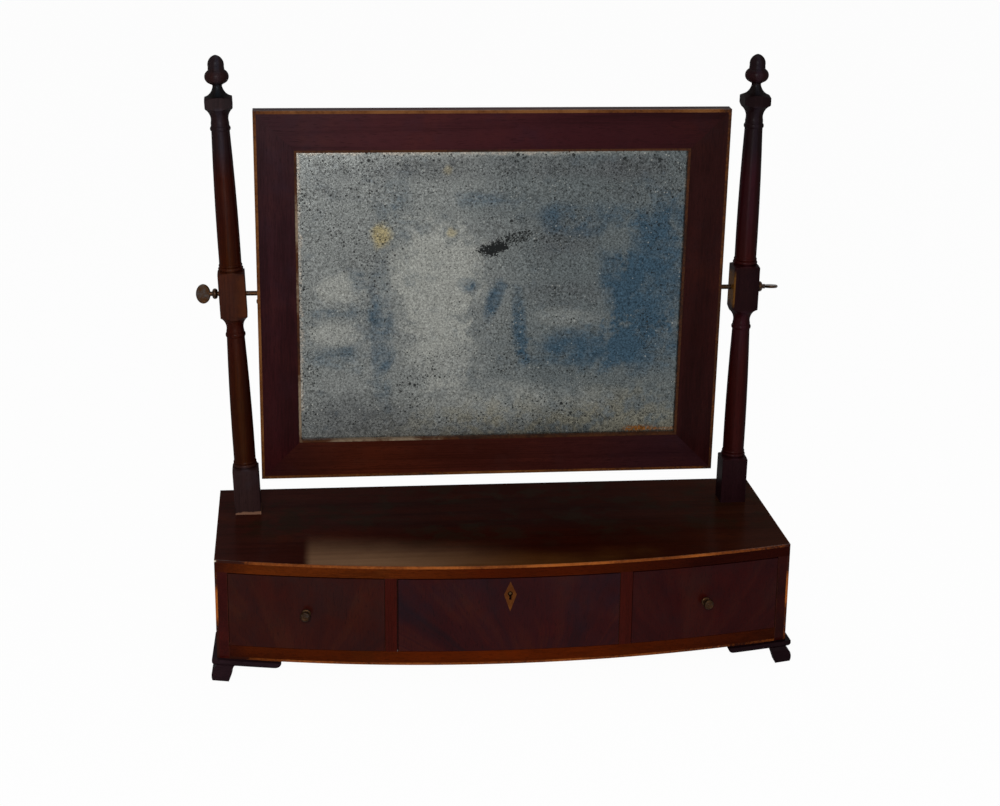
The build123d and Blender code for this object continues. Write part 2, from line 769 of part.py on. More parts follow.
def finial(side):
    """An acorn on a hollow flare, dowelled into the post."""
    base, neck_top = capital_high, finial_neck_height
    acorn = turned(
        (0, base),
        (finial_seat_radius, base),
        ((finial_flare_radius, base + finial_flare_height), (finial_neck_radius, base + neck_top)),
        (finial_neck_radius, base + cup_low - 1.4),
        (cup_foot_radius, base + cup_low),
        ((cup_radius, base + cup_widest), (nut_radius + 0.8, base + cup_top)),
        (nut_radius, base + cup_top + 0.6),
        (nut_shoulder_radius, base + nut_shoulder_height),
        ((nut_round_radius, base + nut_round_height), (tip_flat, base + nut_tip_height)),
        (0, base + nut_tip_height),
    )
    return post_place(side) * (acorn + dowel())


def posts():
    for name, side in (("left", -1), ("right", 1)):
        save(f"{name}_post", post(side))
        save(f"{name}_finial", finial(side))


# ---- Looking glass, built upright about its pivots and then tilted
def hang(shape):
    return Pos(mirror_x, post_y, pivot_z) * Rot(X=glass_tilt) * shape


def panel(inset, y_low, y_high):
    """A rectangular panel set in from the outer edge of the frame."""
    half = frame_width / 2 - inset
    return block((-half, half), (y_low, y_high), (inset - frame_below_pivot, frame_above_pivot - inset))


def mitred(outer_inset, width):
    """Four mitred wedges: top, bottom, left and right of a rectangular border."""
    half = frame_width / 2 - outer_inset
    top, bottom = frame_above_pivot - outer_inset, outer_inset - frame_below_pivot
    inner = half - width
    outlines = {
        "top": [(-half, top), (half, top), (inner, top - width), (-inner, top - width)],
        "bottom": [(-half, bottom), (half, bottom), (inner, bottom + width), (-inner, bottom + width)],
        "left": [(-half, bottom), (-inner, bottom + width), (-inner, top - width), (-half, top)],
        "right": [(half, bottom), (inner, bottom + width), (inner, top - width), (half, top)],
    }
    wedges = {}
    for name, corners in outlines.items():
        outline = Polyline(*[(x, 0, z) for x, z in corners], close=True)
        wedges[name] = front_prism(outline, -frame_thickness, frame_thickness)
    return wedges


def frame_edge(side):
    return side * frame_width / 2


def plate(side, play=0.0):
    """The brass plate let into a stile, which the screw's thread goes through."""
    x = sorted((frame_edge(side), frame_edge(side) - side * plate_thickness))
    half_y, half_z = plate_width / 2, plate_height / 2
    body = block(x, (-half_y, half_y), (-half_z, half_z))
    if play:
        body -= Rot(Y=90) * Cylinder(screw_radius + play, 2 * frame_width)
    return body


def plate_screws():
    """A round-headed screw below each pivot and a flush one above it."""
    tip, dome = -plate_screw_length, plate_screw_head_height
    proud = turned(
        (0, tip), (plate_screw_radius, tip), (plate_screw_radius, 0), (plate_screw_head_radius, 0),
        ((plate_screw_head_radius * 0.7, dome * 0.8), (tip_flat, dome)),
        (0, dome),
    )
    sink = plate_screw_head_radius - plate_screw_radius
    flush = turned(
        (0, tip), (plate_screw_radius, tip), (plate_screw_radius, -sink),
        (plate_screw_head_radius, 0), (0, 0),
    )
    screws = []
    for side in (-1, 1):
        for screw, z in ((proud, -plate_screw_offset), (flush, plate_screw_offset)):
            screws.append(Pos(frame_edge(side), 0, z) * Rot(Y=90 * side) * screw)
    return screws


def brads():
    """Headless nails round the backboard, lying on it and driven into the frame."""
    y = frame_thickness / 2 - rebate_depth + glass_thickness + backboard_thickness + brad_radius
    opening = frame_face - rebate_width
    half = frame_width / 2 - opening
    top, bottom = frame_above_pivot - opening, opening - frame_below_pivot
    lying = Pos(0, 0, -brad_bite) * Cylinder(brad_radius, brad_length, align=upright)
    nails = []
    for count in range(brad_count):
        share = (count + 0.5) / brad_count
        x = -half + 2 * half * share
        z = bottom + (top - bottom) * share
        nails += [
            Pos(x, y, bottom) * lying, Pos(x, y, top) * Rot(X=180) * lying,
            Pos(-half, y, z) * Rot(Y=90) * lying, Pos(half, y, z) * Rot(Y=-90) * lying,
        ]
    return nails


def pocket(side):
    """Room for a screw's thread in the edge of a stile."""
    x = sorted((frame_edge(side), frame_edge(side) - side * (screw_bite + plate_thickness)))
    room = block(x, (-frame_thickness, frame_thickness), (-plate_height, plate_height))
    return room & (Rot(Y=90) * Cylinder(screw_radius + screw_pocket_play, 2 * frame_width))


def frame_members(line_room):
    """The four mitred members, rebated for the glass and cut for lines and fittings."""
    front, back = -frame_thickness / 2, frame_thickness / 2
    ring = panel(0, front, back) - panel(frame_face, front, back) - line_room
    ring -= panel(frame_face - rebate_width, back - rebate_depth, back)
    members = {name: ring & wedge for name, wedge in mitred(0, frame_face).items()}
    for name, side in (("left", -1), ("right", 1)):
        members[name] = members[name] - pocket(side) - plate(side)
    for fitting in plate_screws() + brads():
        members = {name: member - fitting for name, member in members.items()}
    return members


def frame_lines():
    """The light line round the frame, and the slip round the glass."""
    front = -frame_thickness / 2
    line = panel(0, front, front + line_depth) - panel(line_width, front, front + line_depth)
    slip_y = (front + slip_setback, frame_thickness / 2 - rebate_depth)
    slip = panel(frame_face, *slip_y) - panel(frame_face + slip_width, *slip_y)
    save("mirror_stringing", *[hang(line & wedge) for wedge in mitred(0, frame_face).values()])
    save("mirror_slip", *[hang(slip & wedge) for wedge in mitred(frame_face, slip_width).values()])
    return line


def looking_glass():
    for name, member in frame_members(frame_lines()).items():
        kind = "rail" if name in ("top", "bottom") else "stile"
        save(f"mirror_{name}_{kind}", hang(member))
    rim = frame_face - rebate_width + glass_play
    glass_front = frame_thickness / 2 - rebate_depth
    glass_back = glass_front + glass_thickness
    save("mirror_glass", hang(panel(rim, glass_front, glass_back)))
    save("mirror_backboard", hang(panel(rim, glass_back, glass_back + backboard_thickness)))
    save("backboard_brads", *[hang(nail) for nail in brads()])
    for name, side in (("left", -1), ("right", 1)):
        body = plate(side, plate_fit)
        for screw in plate_screws():
            body -= screw
        save(f"{name}_pivot_plate", hang(body))
    save("pivot_plate_screws", *[hang(screw) for screw in plate_screws()])


# ---- Thumb screws
def thumb_screw(neck_length, reach, turn):
    """A screw along +Z from the face of its post, with its shank behind."""
    collar_low = neck_length
    collar_high = neck_length + collar_length
    root = collar_high + collar_neck_length
    spindle = turned(
        (0, -reach),
        (screw_radius, -reach),
        (screw_radius, collar_low),
        ((collar_radius, (collar_low + collar_high) / 2), (collar_neck_radius, collar_high)),
        (collar_neck_radius, root + blade_overlap),
        (0, root + blade_overlap),
    )
    blade = extrude(Plane.XZ * Ellipse(blade_height / 2, blade_length / 2), blade_thickness / 2, both=True)
    blade = fillet(blade.edges(), blade_thickness * 0.42)
    return Rot(Z=turn) * (spindle + Pos(0, 0, root + blade_length / 2) * blade)


def thumb_screws():
    half = post_square / 2
    faces = {}
    for side, pivot_x, lean in ((-1, left_pivot_x, left_lean), (1, right_pivot_x, right_lean)):
        slope = radians(lean)
        faces[side] = pivot_x + side * (half / cos(slope) + collar_radius * tan(slope))
    left_face, right_face = faces[-1], faces[1]
    left_reach = mirror_x - frame_width / 2 + screw_bite - left_face
    right_reach = right_face - (mirror_x + frame_width / 2 - screw_bite)
    left = thumb_screw(left_neck_length, left_reach, left_turn)
    right = thumb_screw(right_neck_length, right_reach, right_turn)
    save("left_thumb_screw", along(-90, left_face, pivot_z, left))
    save("right_thumb_screw", along(90, right_face, pivot_z, right))


box_pieces()
partitions()
drawer_stops()
feet()
side_drawer("left", -1)
centre_drawer()
side_drawer("right", 1)
posts()
looking_glass()
thumb_screws()
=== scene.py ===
import json
import math

import bpy
from mathutils import Matrix, Vector


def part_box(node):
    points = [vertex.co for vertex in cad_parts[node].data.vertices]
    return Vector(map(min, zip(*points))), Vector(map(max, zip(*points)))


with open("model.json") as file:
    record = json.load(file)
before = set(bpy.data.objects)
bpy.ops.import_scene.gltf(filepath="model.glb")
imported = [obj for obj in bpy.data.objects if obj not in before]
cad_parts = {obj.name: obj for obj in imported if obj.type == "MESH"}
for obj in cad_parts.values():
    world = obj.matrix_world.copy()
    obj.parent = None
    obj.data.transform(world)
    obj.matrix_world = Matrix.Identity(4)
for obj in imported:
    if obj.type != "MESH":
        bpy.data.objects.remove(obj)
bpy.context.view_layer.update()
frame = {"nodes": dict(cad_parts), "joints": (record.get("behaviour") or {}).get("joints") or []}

nodes = frame["nodes"]
pivotY, pivotZ = next(joint["pos_m"][1:] for joint in frame["joints"] if joint["name"] == "glass_tilt")
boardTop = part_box("top_board")[1][2]
print("frame loaded,", len(nodes), "pieces")


class Val:      # a socket; its operators add Math nodes to the tree it belongs to
    def __init__(self, tree, socket):
        self.tree = tree
        self.socket = socket

    def maths(self, kind, *values):
        return self.tree.add("ShaderNodeMath", {"operation": kind}, *values)

    def __add__(self, other):
        return self.maths("ADD", self, other)

    def __radd__(self, other):
        return self.maths("ADD", other, self)

    def __sub__(self, other):
        return self.maths("SUBTRACT", self, other)

    def __rsub__(self, other):
        return self.maths("SUBTRACT", other, self)

    def __mul__(self, other):
        return self.maths("MULTIPLY", self, other)

    def __truediv__(self, other):
        return self.maths("DIVIDE", self, other)

    def __pow__(self, other):
        return self.maths("POWER", self, other)

    def __abs__(self):
        return self.maths("ABSOLUTE", self)

    def least(self, other):
        return self.maths("MINIMUM", self, other)

    def most(self, other):
        return self.maths("MAXIMUM", self, other)

    def step(self, low, high):      # 0 at low, 1 at high, smooth between them; low may be the larger
        settings = {"interpolation_type": "SMOOTHSTEP"}
        if low < high:
            return self.tree.add("ShaderNodeMapRange", settings, self, low, high, 0.0, 1.0)
        return self.tree.add("ShaderNodeMapRange", settings, self, high, low, 1.0, 0.0)

    def beside(self, out):      # another output of the same node
        return Val(self.tree, self.socket.node.outputs[out])


class Tree:     # the nodes of a material or of the world
    def __init__(self, nodeTree):
        self.nodeTree = nodeTree
        nodeTree.nodes.clear()

    def add(self, kind, settings, *values, out=0, **named):
        # any node: its type, its settings, then its sockets' values or links in order or by name
        made = self.nodeTree.nodes.new(kind)
        for key, value in settings.items():
            if key == "stops":
                self.setStops(made.color_ramp, value)
            else:
                setattr(made, key, value)
        for key, value in [*enumerate(values), *named.items()]:
            if value is not None:
                self.feed(made.inputs[key], value)
        return Val(self, made.outputs[out]) if made.outputs else made

    def setStops(self, ramp, stops):
        ramp.elements[0].position = stops[0][0]
        ramp.elements[-1].position = stops[-1][0]
        for place, colour in stops[1:-1]:
            ramp.elements.new(place)
        for element, (place, colour) in zip(ramp.elements, stops):
            element.color = (*colour, 1.0)

    def feed(self, socket, value):
        if isinstance(value, Val):
            self.nodeTree.links.new(value.socket, socket)
        elif isinstance(value, tuple) and socket.type == "RGBA":
            socket.default_value = (*value, 1.0)
        else:
            socket.default_value = value

    def seenWhite(self, low, high):     # high for camera, glossy and transmission rays, low for the others
        ray = self.add("ShaderNodeLightPath", {}, out="Is Camera Ray")
        seen = ray.most(ray.beside("Is Glossy Ray")).most(ray.beside("Is Transmission Ray"))
        return seen * (high - low) + low


class Finish(Tree):     # one material, with a Principled shader
    def __init__(self, name):
        self.material = bpy.data.materials.new(name)
        self.material.use_nodes = True
        super().__init__(self.material.node_tree)
        self.shader = self.add("ShaderNodeBsdfPrincipled", {})
        self.end = self.add("ShaderNodeOutputMaterial", {}, self.shader)

    def shade(self, **sockets):      # the shader's sockets, by their names without spaces
        byName = {s.name.replace(" ", ""): s for s in self.shader.socket.node.inputs}
        for name, value in sockets.items():
            self.feed(byName[name], value)
        return self.material

    def place(self, scale=(1, 1, 1), shift=(0, 0, 0), turn=(0, 0, 0)):
        # Object coordinates, shifted, turned and scaled
        at = self.add("ShaderNodeTexCoord", {}, out="Object")
        for socket, value in (("Location", shift), ("Rotation", turn), ("Scale", scale)):
            at = self.add("ShaderNodeMapping", {"vector_type": "POINT"}, at, **{socket: value})
        return at

    def axes(self, vector=None):
        x = self.add("ShaderNodeSeparateXYZ", {}, vector or self.place())
        return [x, x.beside(1), x.beside(2)]

    def point(self, x, y, z):
        return self.add("ShaderNodeCombineXYZ", {}, x, y, z)

    def noise(self, vector, scale=1.0, detail=2.0, rough=0.5, warp=0.0):
        sockets = {"Scale": scale, "Detail": detail, "Roughness": rough, "Distortion": warp}
        return self.add("ShaderNodeTexNoise", {}, vector, **sockets)

    def clouds(self, shift, scale, detail, rough):      # noise at a place of its own
        return self.noise(self.place(shift=shift), scale, detail, rough)

    def blend(self, a, b, share):
        settings = {"data_type": "RGBA", "clamp_factor": True}
        return self.add("ShaderNodeMix", settings, share, None, None, None, None, None, a, b, out=2)

    def times(self, a, b):      # a colour or vector times another
        return self.add("ShaderNodeVectorMath", {"operation": "MULTIPLY"}, a, b)

    def ramp(self, value, *stops):
        return self.add("ShaderNodeValToRGB", {"stops": stops}, value)

    def bump(self, height, depth, strength=0.5):
        return self.add("ShaderNodeBump", {}, Height=height, Distance=depth, Strength=strength)


def give(finish, name):
    slots = nodes[name].data.materials
    slots.clear()
    slots.append(finish)


# polished mahogany; the turn brings the way that the fibres run to Z
runs = {"X": (0, math.radians(90), 0), "Y": (math.radians(90), 0, 0), "Z": (0, 0, 0)}

mahogany = {
    "dark": 0.55,       # of a piece's own colour, in the stripes
    "warm": (1.55, 1.45, 1.0),      # times a piece's own colour, where the polish is thin
    "cool": (0.80, 1.15, 1.40),     # and where it is thick and clouded
    "worn": (0.115, 0.036, 0.011),
    "rough": 0.42, "coat": 0.045, "coatRough": 0.22,
    "relief": 0.00016,      # metres
    "waver": 0.06,          # metres that the borders between a board's tones are shaken by
    # noise: how fine it is across and along the fibres, or in all directions, per metre
    "stripes": {"cross": 46.0, "along": 2.2, "detail": 3.0, "rough": 0.55, "warp": 0.5},
    "fibres": {"cross": 800.0, "along": 12.0, "detail": 2.0, "rough": 0.6},
    "pores": {"cross": 1700.0, "along": 110.0, "detail": 1.0, "rough": 0.5},
    "drift": {"scale": 12.0, "detail": 3.0, "rough": 0.55},
    "thin": {"scale": 15.0, "detail": 4.0, "rough": 0.6},
    "clouded": {"scale": 34.0, "detail": 4.0, "rough": 0.6},
    "rubbed": {"scale": 26.0, "detail": 4.0, "rough": 0.65},
    # the noise at which each change starts and is full
    "poresFrom": (0.58, 0.70), "darkFrom": (0.58, 0.30), "warmFrom": (0.55, 0.80), "coolFrom": (0.50, 0.72),
}


def grain(f, run, seed, cross, along, detail=2.0, rough=0.5, warp=0.0):
    # noise drawn out along the fibres
    shift = (0.371 * seed, 0.213 * seed, 0.547 * seed)
    return f.noise(f.place((cross, cross, along), shift, runs[run]), 1.0, detail, rough, warp)


def edgeWear(f, name, reach, seed):
    # the middle one of the distances to a board's three pairs of faces is the distance to its nearest edge
    low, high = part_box(name)
    a, b, c = [(h - l) / 2 - abs(v - (l + h) / 2) for v, l, h in zip(f.axes(), low, high)]
    middle = a + b + c - a.least(b).least(c) - a.most(b).most(c)
    ragged = f.clouds((seed, seed, seed), 70.0, 4.0, 0.6)
    return (middle + (ragged - 0.5) * reach * 2.2).step(reach, 0.0)


def blot(f, at, spot, ragged):
    # 1 in the middle of a turned ellipse and 0 outside it, with a ragged edge
    mu, mv, ru, rv, turn, weight = spot     # middle, half sizes, degrees, weight
    c, s = math.cos(math.radians(turn)), math.sin(math.radians(turn))
    du, dv = at[0] - mu, at[1] - mv
    a, b = (du * c + dv * s) / ru, (dv * c - du * s) / rv
    return ((a * a + b * b) ** 0.5 + (ragged - 0.5) * 1.5).step(1.15, 0.35) * weight


def blots(f, at, spots, ragged):
    total = 0.0
    for spot in spots:
        total = blot(f, at, spot, ragged) + total
    return total


def toned(f, tones, run, shake):
    # colours at places along the fibres, in metres, with their borders shaken
    low, high = tones[0][0], tones[-1][0]
    along = (f.axes()["XYZ".index(run)] + shake - low) / (high - low)
    return f.ramp(along, *[((place - low) / (high - low), colour) for place, colour in tones])


def polished(name, run, seed, tones, rough=mahogany["rough"], coat=mahogany["coat"],
             coatRough=mahogany["coatRough"], extra=None, waver=mahogany["waver"]):
    # a piece's own colour or colours, darkened by stripes and pores, with warm and cool clouds
    f = Finish(name + "Polish")
    drift = f.clouds((seed, 1.0, 2.0), **mahogany["drift"])
    base = tones if isinstance(tones, tuple) else toned(f, tones, run, (drift - 0.5) * waver)
    stripes = grain(f, run, seed, **mahogany["stripes"])
    fibres = grain(f, run, seed + 3, **mahogany["fibres"])
    pores = grain(f, run, seed + 5, **mahogany["pores"]).step(*mahogany["poresFrom"])
    thin = f.clouds((seed, 2.0, 5.0), **mahogany["thin"])
    clouded = f.clouds((5.0, seed, 2.0), **mahogany["clouded"])
    shadow = f.blend(base, (0.0, 0.0, 0.0), 1.0 - mahogany["dark"])
    dark = (stripes * 0.6 + fibres * 0.4).step(*mahogany["darkFrom"])
    warm = (thin * 0.7 + stripes * 0.3 + fibres * 0.15).step(*mahogany["warmFrom"])
    cool = (clouded * 0.75 + thin * 0.25).step(*mahogany["coolFrom"])
    body = f.blend(base, shadow, dark)
    body = f.blend(body, f.times(base, mahogany["warm"]), warm * 0.6)
    body = f.blend(body, f.times(base, mahogany["cool"]), cool * 0.6)
    body = f.blend(body, shadow, pores * 0.8)
    if extra is not None:
        body, coat = extra(f, body, coat)
    rubbed = f.clouds((1.0, seed, 4.0), **mahogany["rubbed"])
    surface = rough + (rubbed - 0.5) * 0.25 + pores * 0.12
    relief = f.bump(fibres * 0.25 - pores * 0.8 + rubbed * 0.5, mahogany["relief"])
    f.shade(CoatWeight=(rubbed * 0.8 + 0.6) * coat, CoatRoughness=coatRough, SpecularIORLevel=0.0)
    return f.shade(BaseColor=body, Roughness=surface, Normal=relief)


topBoard = {
    "tones": [
        (-0.28, (0.0335, 0.0084, 0.0062)), (-0.20, (0.0290, 0.0066, 0.0046)),
        (-0.05, (0.0205, 0.0032, 0.0014)), (0.10, (0.0190, 0.0026, 0.0009)),
        (0.20, (0.0260, 0.0056, 0.0026)), (0.28, (0.0300, 0.0085, 0.0045)),
    ],
    "rough": 0.40, "coat": 0.016,
    "apex": -0.117, "bow": 0.46,        # the front of the box stands at apex + bow * x * x
    "moss": (0.0135, 0.0090, 0.0050),
    # a painted warm glow of sheen along the front edge
    "amber": (0.095, 0.036, 0.0080),
    "haze": (0.215, 0.120, 0.066),      # a painted sheen near the front, with a sharp end at the left
    "hazeCoat": 0.03,
    "worn": 0.35, "wornReach": 0.0012,
    "soft": {"scale": 16.0, "detail": 4.0, "rough": 0.6},
    "small": {"scale": 42.0, "detail": 4.0, "rough": 0.6},
    "streaks": {"cross": 150.0, "along": 3.0, "detail": 3.0, "rough": 0.6},
    "mossFrom": (0.47, 0.60),
    # metres behind the front edge, or along x, from nothing to full
    "mossBehind": (0.03, 0.10),
    "amberBehind": (0.050, 0.004), "amberLeft": (-0.20, -0.12), "amberRight": (0.17, -0.02),
    "hazeBehind": (0.085, 0.002), "hazeFront": (-0.012, 0.010),
    "hazeLeft": (-0.196, -0.186), "hazeRight": (0.04, -0.16),
}


def topBoardExtras(f, body, coat):
    x, y = f.axes()[:2]
    soft = f.clouds((3, 1, 2), **topBoard["soft"])
    small = f.clouds((8, 1, 2), **topBoard["small"])
    streaks = grain(f, "X", 12, **topBoard["streaks"])
    shake = soft - 0.5
    behind = y - topBoard["apex"] - x * x * topBoard["bow"] + shake * 0.030
    moss = (soft * 0.5 + small * 0.5).step(*topBoard["mossFrom"]) * behind.step(*topBoard["mossBehind"])
    body = f.blend(body, topBoard["moss"], moss * 0.6)
    # painted warm glow of sheen along the front edge, in streaks
    amber = behind.step(*topBoard["amberBehind"]) * x.step(*topBoard["amberLeft"])
    amber = amber * (x + shake * 0.2).step(*topBoard["amberRight"])
    body = f.blend(body, topBoard["amber"], amber * (0.25 + streaks * 0.5))
    # painted sheen: a pale patch near the front, with more coat over it
    haze = behind.step(*topBoard["hazeBehind"]) * behind.step(*topBoard["hazeFront"])
    haze = haze * (x + shake * 0.006).step(*topBoard["hazeLeft"]) * x.step(*topBoard["hazeRight"])
    body = f.blend(body, topBoard["haze"], haze * (0.50 + streaks * 0.45))
    worn = edgeWear(f, "top_board", topBoard["wornReach"], 1) * topBoard["worn"]
    return f.blend(body, mahogany["worn"], worn), haze * topBoard["hazeCoat"] + coat


sideWear = {"reach": 0.0010, "share": 0.12}


def sideExtras(name, seed):
    def extras(f, body, coat):
        worn = edgeWear(f, name, sideWear["reach"], seed) * sideWear["share"]
        return f.blend(body, mahogany["worn"], worn), coat
    return extras


# the left partition's arris is grimed beside the middle drawer, with a chip at its foot
partitionMarks = {
    "grime": (0.004, 0.0012, 0.0008), "grimeAt": -0.1074, "grimeEdge": (0.0010, 0.0003), "shake": 0.0010,
    "chipped": (0.12, 0.10, 0.10), "chips": [(-0.1068, 0.0372, 0.0010, 0.0012, 0, 0.8)],
}


def partitionExtras(f, body, coat):
    marks = partitionMarks
    x, z = f.axes()[::2]
    ragged = f.noise(f.place(), 160.0, 4.0, 0.6)
    grime = (abs(x - marks["grimeAt"]) + (ragged - 0.5) * marks["shake"]).step(*marks["grimeEdge"])
    body = f.blend(body, marks["grime"], grime * 0.8)
    return f.blend(body, marks["chipped"], blots(f, (x, z), marks["chips"], ragged)), coat


# the top face of the frame is glossier; its height is measured from the pivots, along the tilted glass
frameTop = {"tilt": math.radians(3.2), "height": (0.1812, 0.1822), "coat": 0.06}


def frameExtras(f, body, coat):
    y, z = f.axes()[1:]
    up = (z - pivotZ) * math.cos(frameTop["tilt"]) - (y - pivotY) * math.sin(frameTop["tilt"])
    return body, up.step(*frameTop["height"]) * frameTop["coat"] + coat


boards = {
    "top_facing": {
        "run": "X", "seed": 2, "coat": 0.02,
        "tones": [
            (-0.28, (0.024, 0.0040, 0.0025)), (-0.25, (0.085, 0.016, 0.0022)),
            (-0.14, (0.080, 0.015, 0.0022)), (-0.02, (0.040, 0.0050, 0.0006)),
            (0.10, (0.034, 0.0045, 0.0006)), (0.20, (0.016, 0.002, 0.001)),
        ],
    },
    "bottom_facing": {
        "run": "X", "seed": 3, "coat": 0.02,
        "tones": [
            (-0.28, (0.020, 0.0035, 0.0030)), (-0.25, (0.045, 0.007, 0.0012)),
            (-0.10, (0.055, 0.008, 0.001)), (0.06, (0.062, 0.0085, 0.0008)), (0.26, (0.030, 0.0045, 0.0012)),
        ],
    },
    "left_side": {
        "run": "Y", "seed": 4, "coat": 0.07, "extra": sideExtras("left_side", 4),
        "tones": (0.0300, 0.0034, 0.0028),
    },
    "right_side": {
        "run": "Y", "seed": 5, "coat": 0.07, "extra": sideExtras("right_side", 5),
        "tones": (0.018, 0.0020, 0.0015),
    },
    "partition_facings": {
        "run": "Z", "seed": 6, "coat": 0.06, "extra": partitionExtras,
        "tones": (0.035, 0.0034, 0.0018),
    },
    "mirror_top_rail": {
        "run": "X", "seed": 7, "coat": 0.055, "extra": frameExtras,
        "tones": [
            (-0.235, (0.023, 0.0078, 0.0100)), (-0.195, (0.028, 0.0088, 0.0112)),
            (-0.12, (0.0395, 0.0098, 0.0116)), (0.06, (0.0290, 0.0058, 0.0076)),
            (0.17, (0.0225, 0.0045, 0.0054)), (0.229, (0.0170, 0.0040, 0.0038)),
        ],
    },
    "mirror_bottom_rail": {
        "run": "X", "seed": 8, "coat": 0.04,
        "tones": [
            (-0.235, (0.0240, 0.0050, 0.0050)), (-0.195, (0.0310, 0.0068, 0.0044)),
            (-0.13, (0.0480, 0.0088, 0.0038)), (0.02, (0.0350, 0.0072, 0.0050)),
            (0.17, (0.0220, 0.0063, 0.0077)), (0.229, (0.0180, 0.0049, 0.0060)),
        ],
    },
    "mirror_left_stile": {
        "run": "Z", "seed": 9, "coat": 0.055, "extra": frameExtras,
        "tones": [
            (0.155, (0.0235, 0.0040, 0.0044)), (0.25, (0.0240, 0.0042, 0.0050)),
            (0.42, (0.0245, 0.0070, 0.0092)), (0.53, (0.0260, 0.0094, 0.0118)),
        ],
    },
    "mirror_right_stile": {
        "run": "Z", "seed": 10, "coat": 0.055, "extra": frameExtras,
        "tones": [
            (0.155, (0.0175, 0.0036, 0.0036)), (0.30, (0.0172, 0.0032, 0.0028)),
            (0.46, (0.0188, 0.0046, 0.0042)), (0.53, (0.0180, 0.0044, 0.0042)),
        ],
    },
}
give(polished("topBoard", "X", 1, topBoard["tones"], topBoard["rough"], topBoard["coat"],
              extra=topBoardExtras), "top_board")
for name, settings in boards.items():
    give(polished(name, **settings), name)
print("boards and frame polished")

# the right feet are darker than the left: painted shade of light that falls off to the right, on top of
# their own colour
feet = {
    "left_front_foot_bracket": ("X", (0.017, 0.0070, 0.0095)),
    "left_front_foot_side_bracket": ("Y", (0.017, 0.0070, 0.0095)),
    "left_rear_foot_bracket": ("Y", (0.015, 0.0060, 0.0080)),
    "right_front_foot_bracket": ("X", (0.0075, 0.0024, 0.0036)),
    "right_front_foot_side_bracket": ("Y", (0.0075, 0.0024, 0.0036)),
    "right_rear_foot_bracket": ("Y", (0.0075, 0.0024, 0.0036)),
}
footRough = 0.5
for seed, (name, (run, colour)) in enumerate(feet.items(), 11):
    give(polished(name, run, seed, colour, footRough), name)

# posts and finials, whose axes lie in the plane of the pivots
turned = {
    "squares": [(0.120, 0.171), (0.326, 0.374), (0.532, 0.546)],        # from and to these heights
    "right": (0.58, 0.52, 0.58),        # times the colour: painted shade at the right side
    "streak": (1.35, 1.9, 2.3),         # times the colour: a painted highlight down the front of what is round
    "rough": 0.36, "coat": 0.06, "coatRough": 0.30,
}
leftWear = {
    "pale": (0.20, 0.10, 0.062), "paleAt": (-0.2495, 0.05), "paleBelow": (0.1262, 0.1250),
    "warm": (0.052, 0.0120, 0.0024), "warmBetween": (0.327, 0.373), "warmAt": -0.2545,
    "warmFrom": (-0.006, 0.008),
}
rightWear = {"warm": (0.105, 0.042, 0.0070), "within": (0.020, 0.012), "side": -0.0115}


def between(v, low, high, blur):
    return (v - low).step(0.0, blur) * (high - v).step(0.0, blur)


def leftPostWear(f, body, x, z, across):
    # the foot is rubbed pale, more so at the right, and the pivot square is warm on the inner half
    ragged = f.noise(f.place(), 120.0, 4.0, 0.6)
    middle, slant = leftWear["paleAt"]
    pale = (z - (x - middle) * slant + (ragged - 0.5) * 0.0042).step(*leftWear["paleBelow"])
    body = f.blend(body, leftWear["pale"], pale * 0.85)
    inner = (x - leftWear["warmAt"] + (ragged - 0.5) * 0.016).step(*leftWear["warmFrom"])
    return f.blend(body, leftWear["warm"], between(z, *leftWear["warmBetween"], 0.004) * inner * 0.75)


def rightPostWear(f, body, x, z, across):
    # the inner face of the pivot square is rubbed to a warm colour
    ragged = f.noise(f.place(), 120.0, 4.0, 0.6)
    patch = (abs(z - pivotZ) + (ragged - 0.5) * 0.014).step(*rightWear["within"])
    return f.blend(body, rightWear["warm"], patch * (across - rightWear["side"]).step(0.0006, 0.0) * 0.8)


# the right post's tones are darker than the left's: painted shade of light that falls off to the right, on
# top of their own colour
turnings = {
    "left_post": {
        "seed": 21, "at": -0.2495, "lean": -0.0435, "wear": leftPostWear,
        "foot": (0.0285, 0.0134, 0.0128), "low": (0.0240, 0.0036, 0.0004),
        "column": (0.0250, 0.0034, 0.0014), "square": (0.0360, 0.0084, 0.0040),
        "capital": (0.0165, 0.0076, 0.0084),
    },
    "right_post": {
        "seed": 22, "at": 0.2495, "lean": 0.0140, "wear": rightPostWear,
        "foot": (0.0125, 0.0036, 0.0046), "low": (0.0170, 0.0016, 0.0012),
        "column": (0.0160, 0.0024, 0.0032), "square": (0.0098, 0.0024, 0.0030),
        "capital": (0.0085, 0.0034, 0.0040),
    },
    "left_finial": {
        "seed": 23, "at": -0.2678, "lean": 0.0,
        "neck": (0.0080, 0.0065, 0.0068), "cup": (0.0200, 0.0075, 0.0070), "nut": (0.0165, 0.0098, 0.0108),
    },
    "right_finial": {
        "seed": 24, "at": 0.2554, "lean": 0.0,
        "neck": (0.0075, 0.0045, 0.0045), "cup": (0.0150, 0.0045, 0.0050), "nut": (0.0110, 0.0050, 0.0058),
    },
}
# the height of each tone
postTones = [
    (0.123, "foot"), (0.168, "foot"), (0.176, "low"), (0.26, "low"), (0.310, "column"), (0.322, "column"),
    (0.330, "square"), (0.371, "square"), (0.379, "low"), (0.43, "column"), (0.464, "column"),
    (0.494, "capital"),
]
finialTones = [
    (0.544, "neck"), (0.553, "neck"), (0.559, "cup"), (0.565, "cup"), (0.571, "nut"), (0.584, "nut"),
]


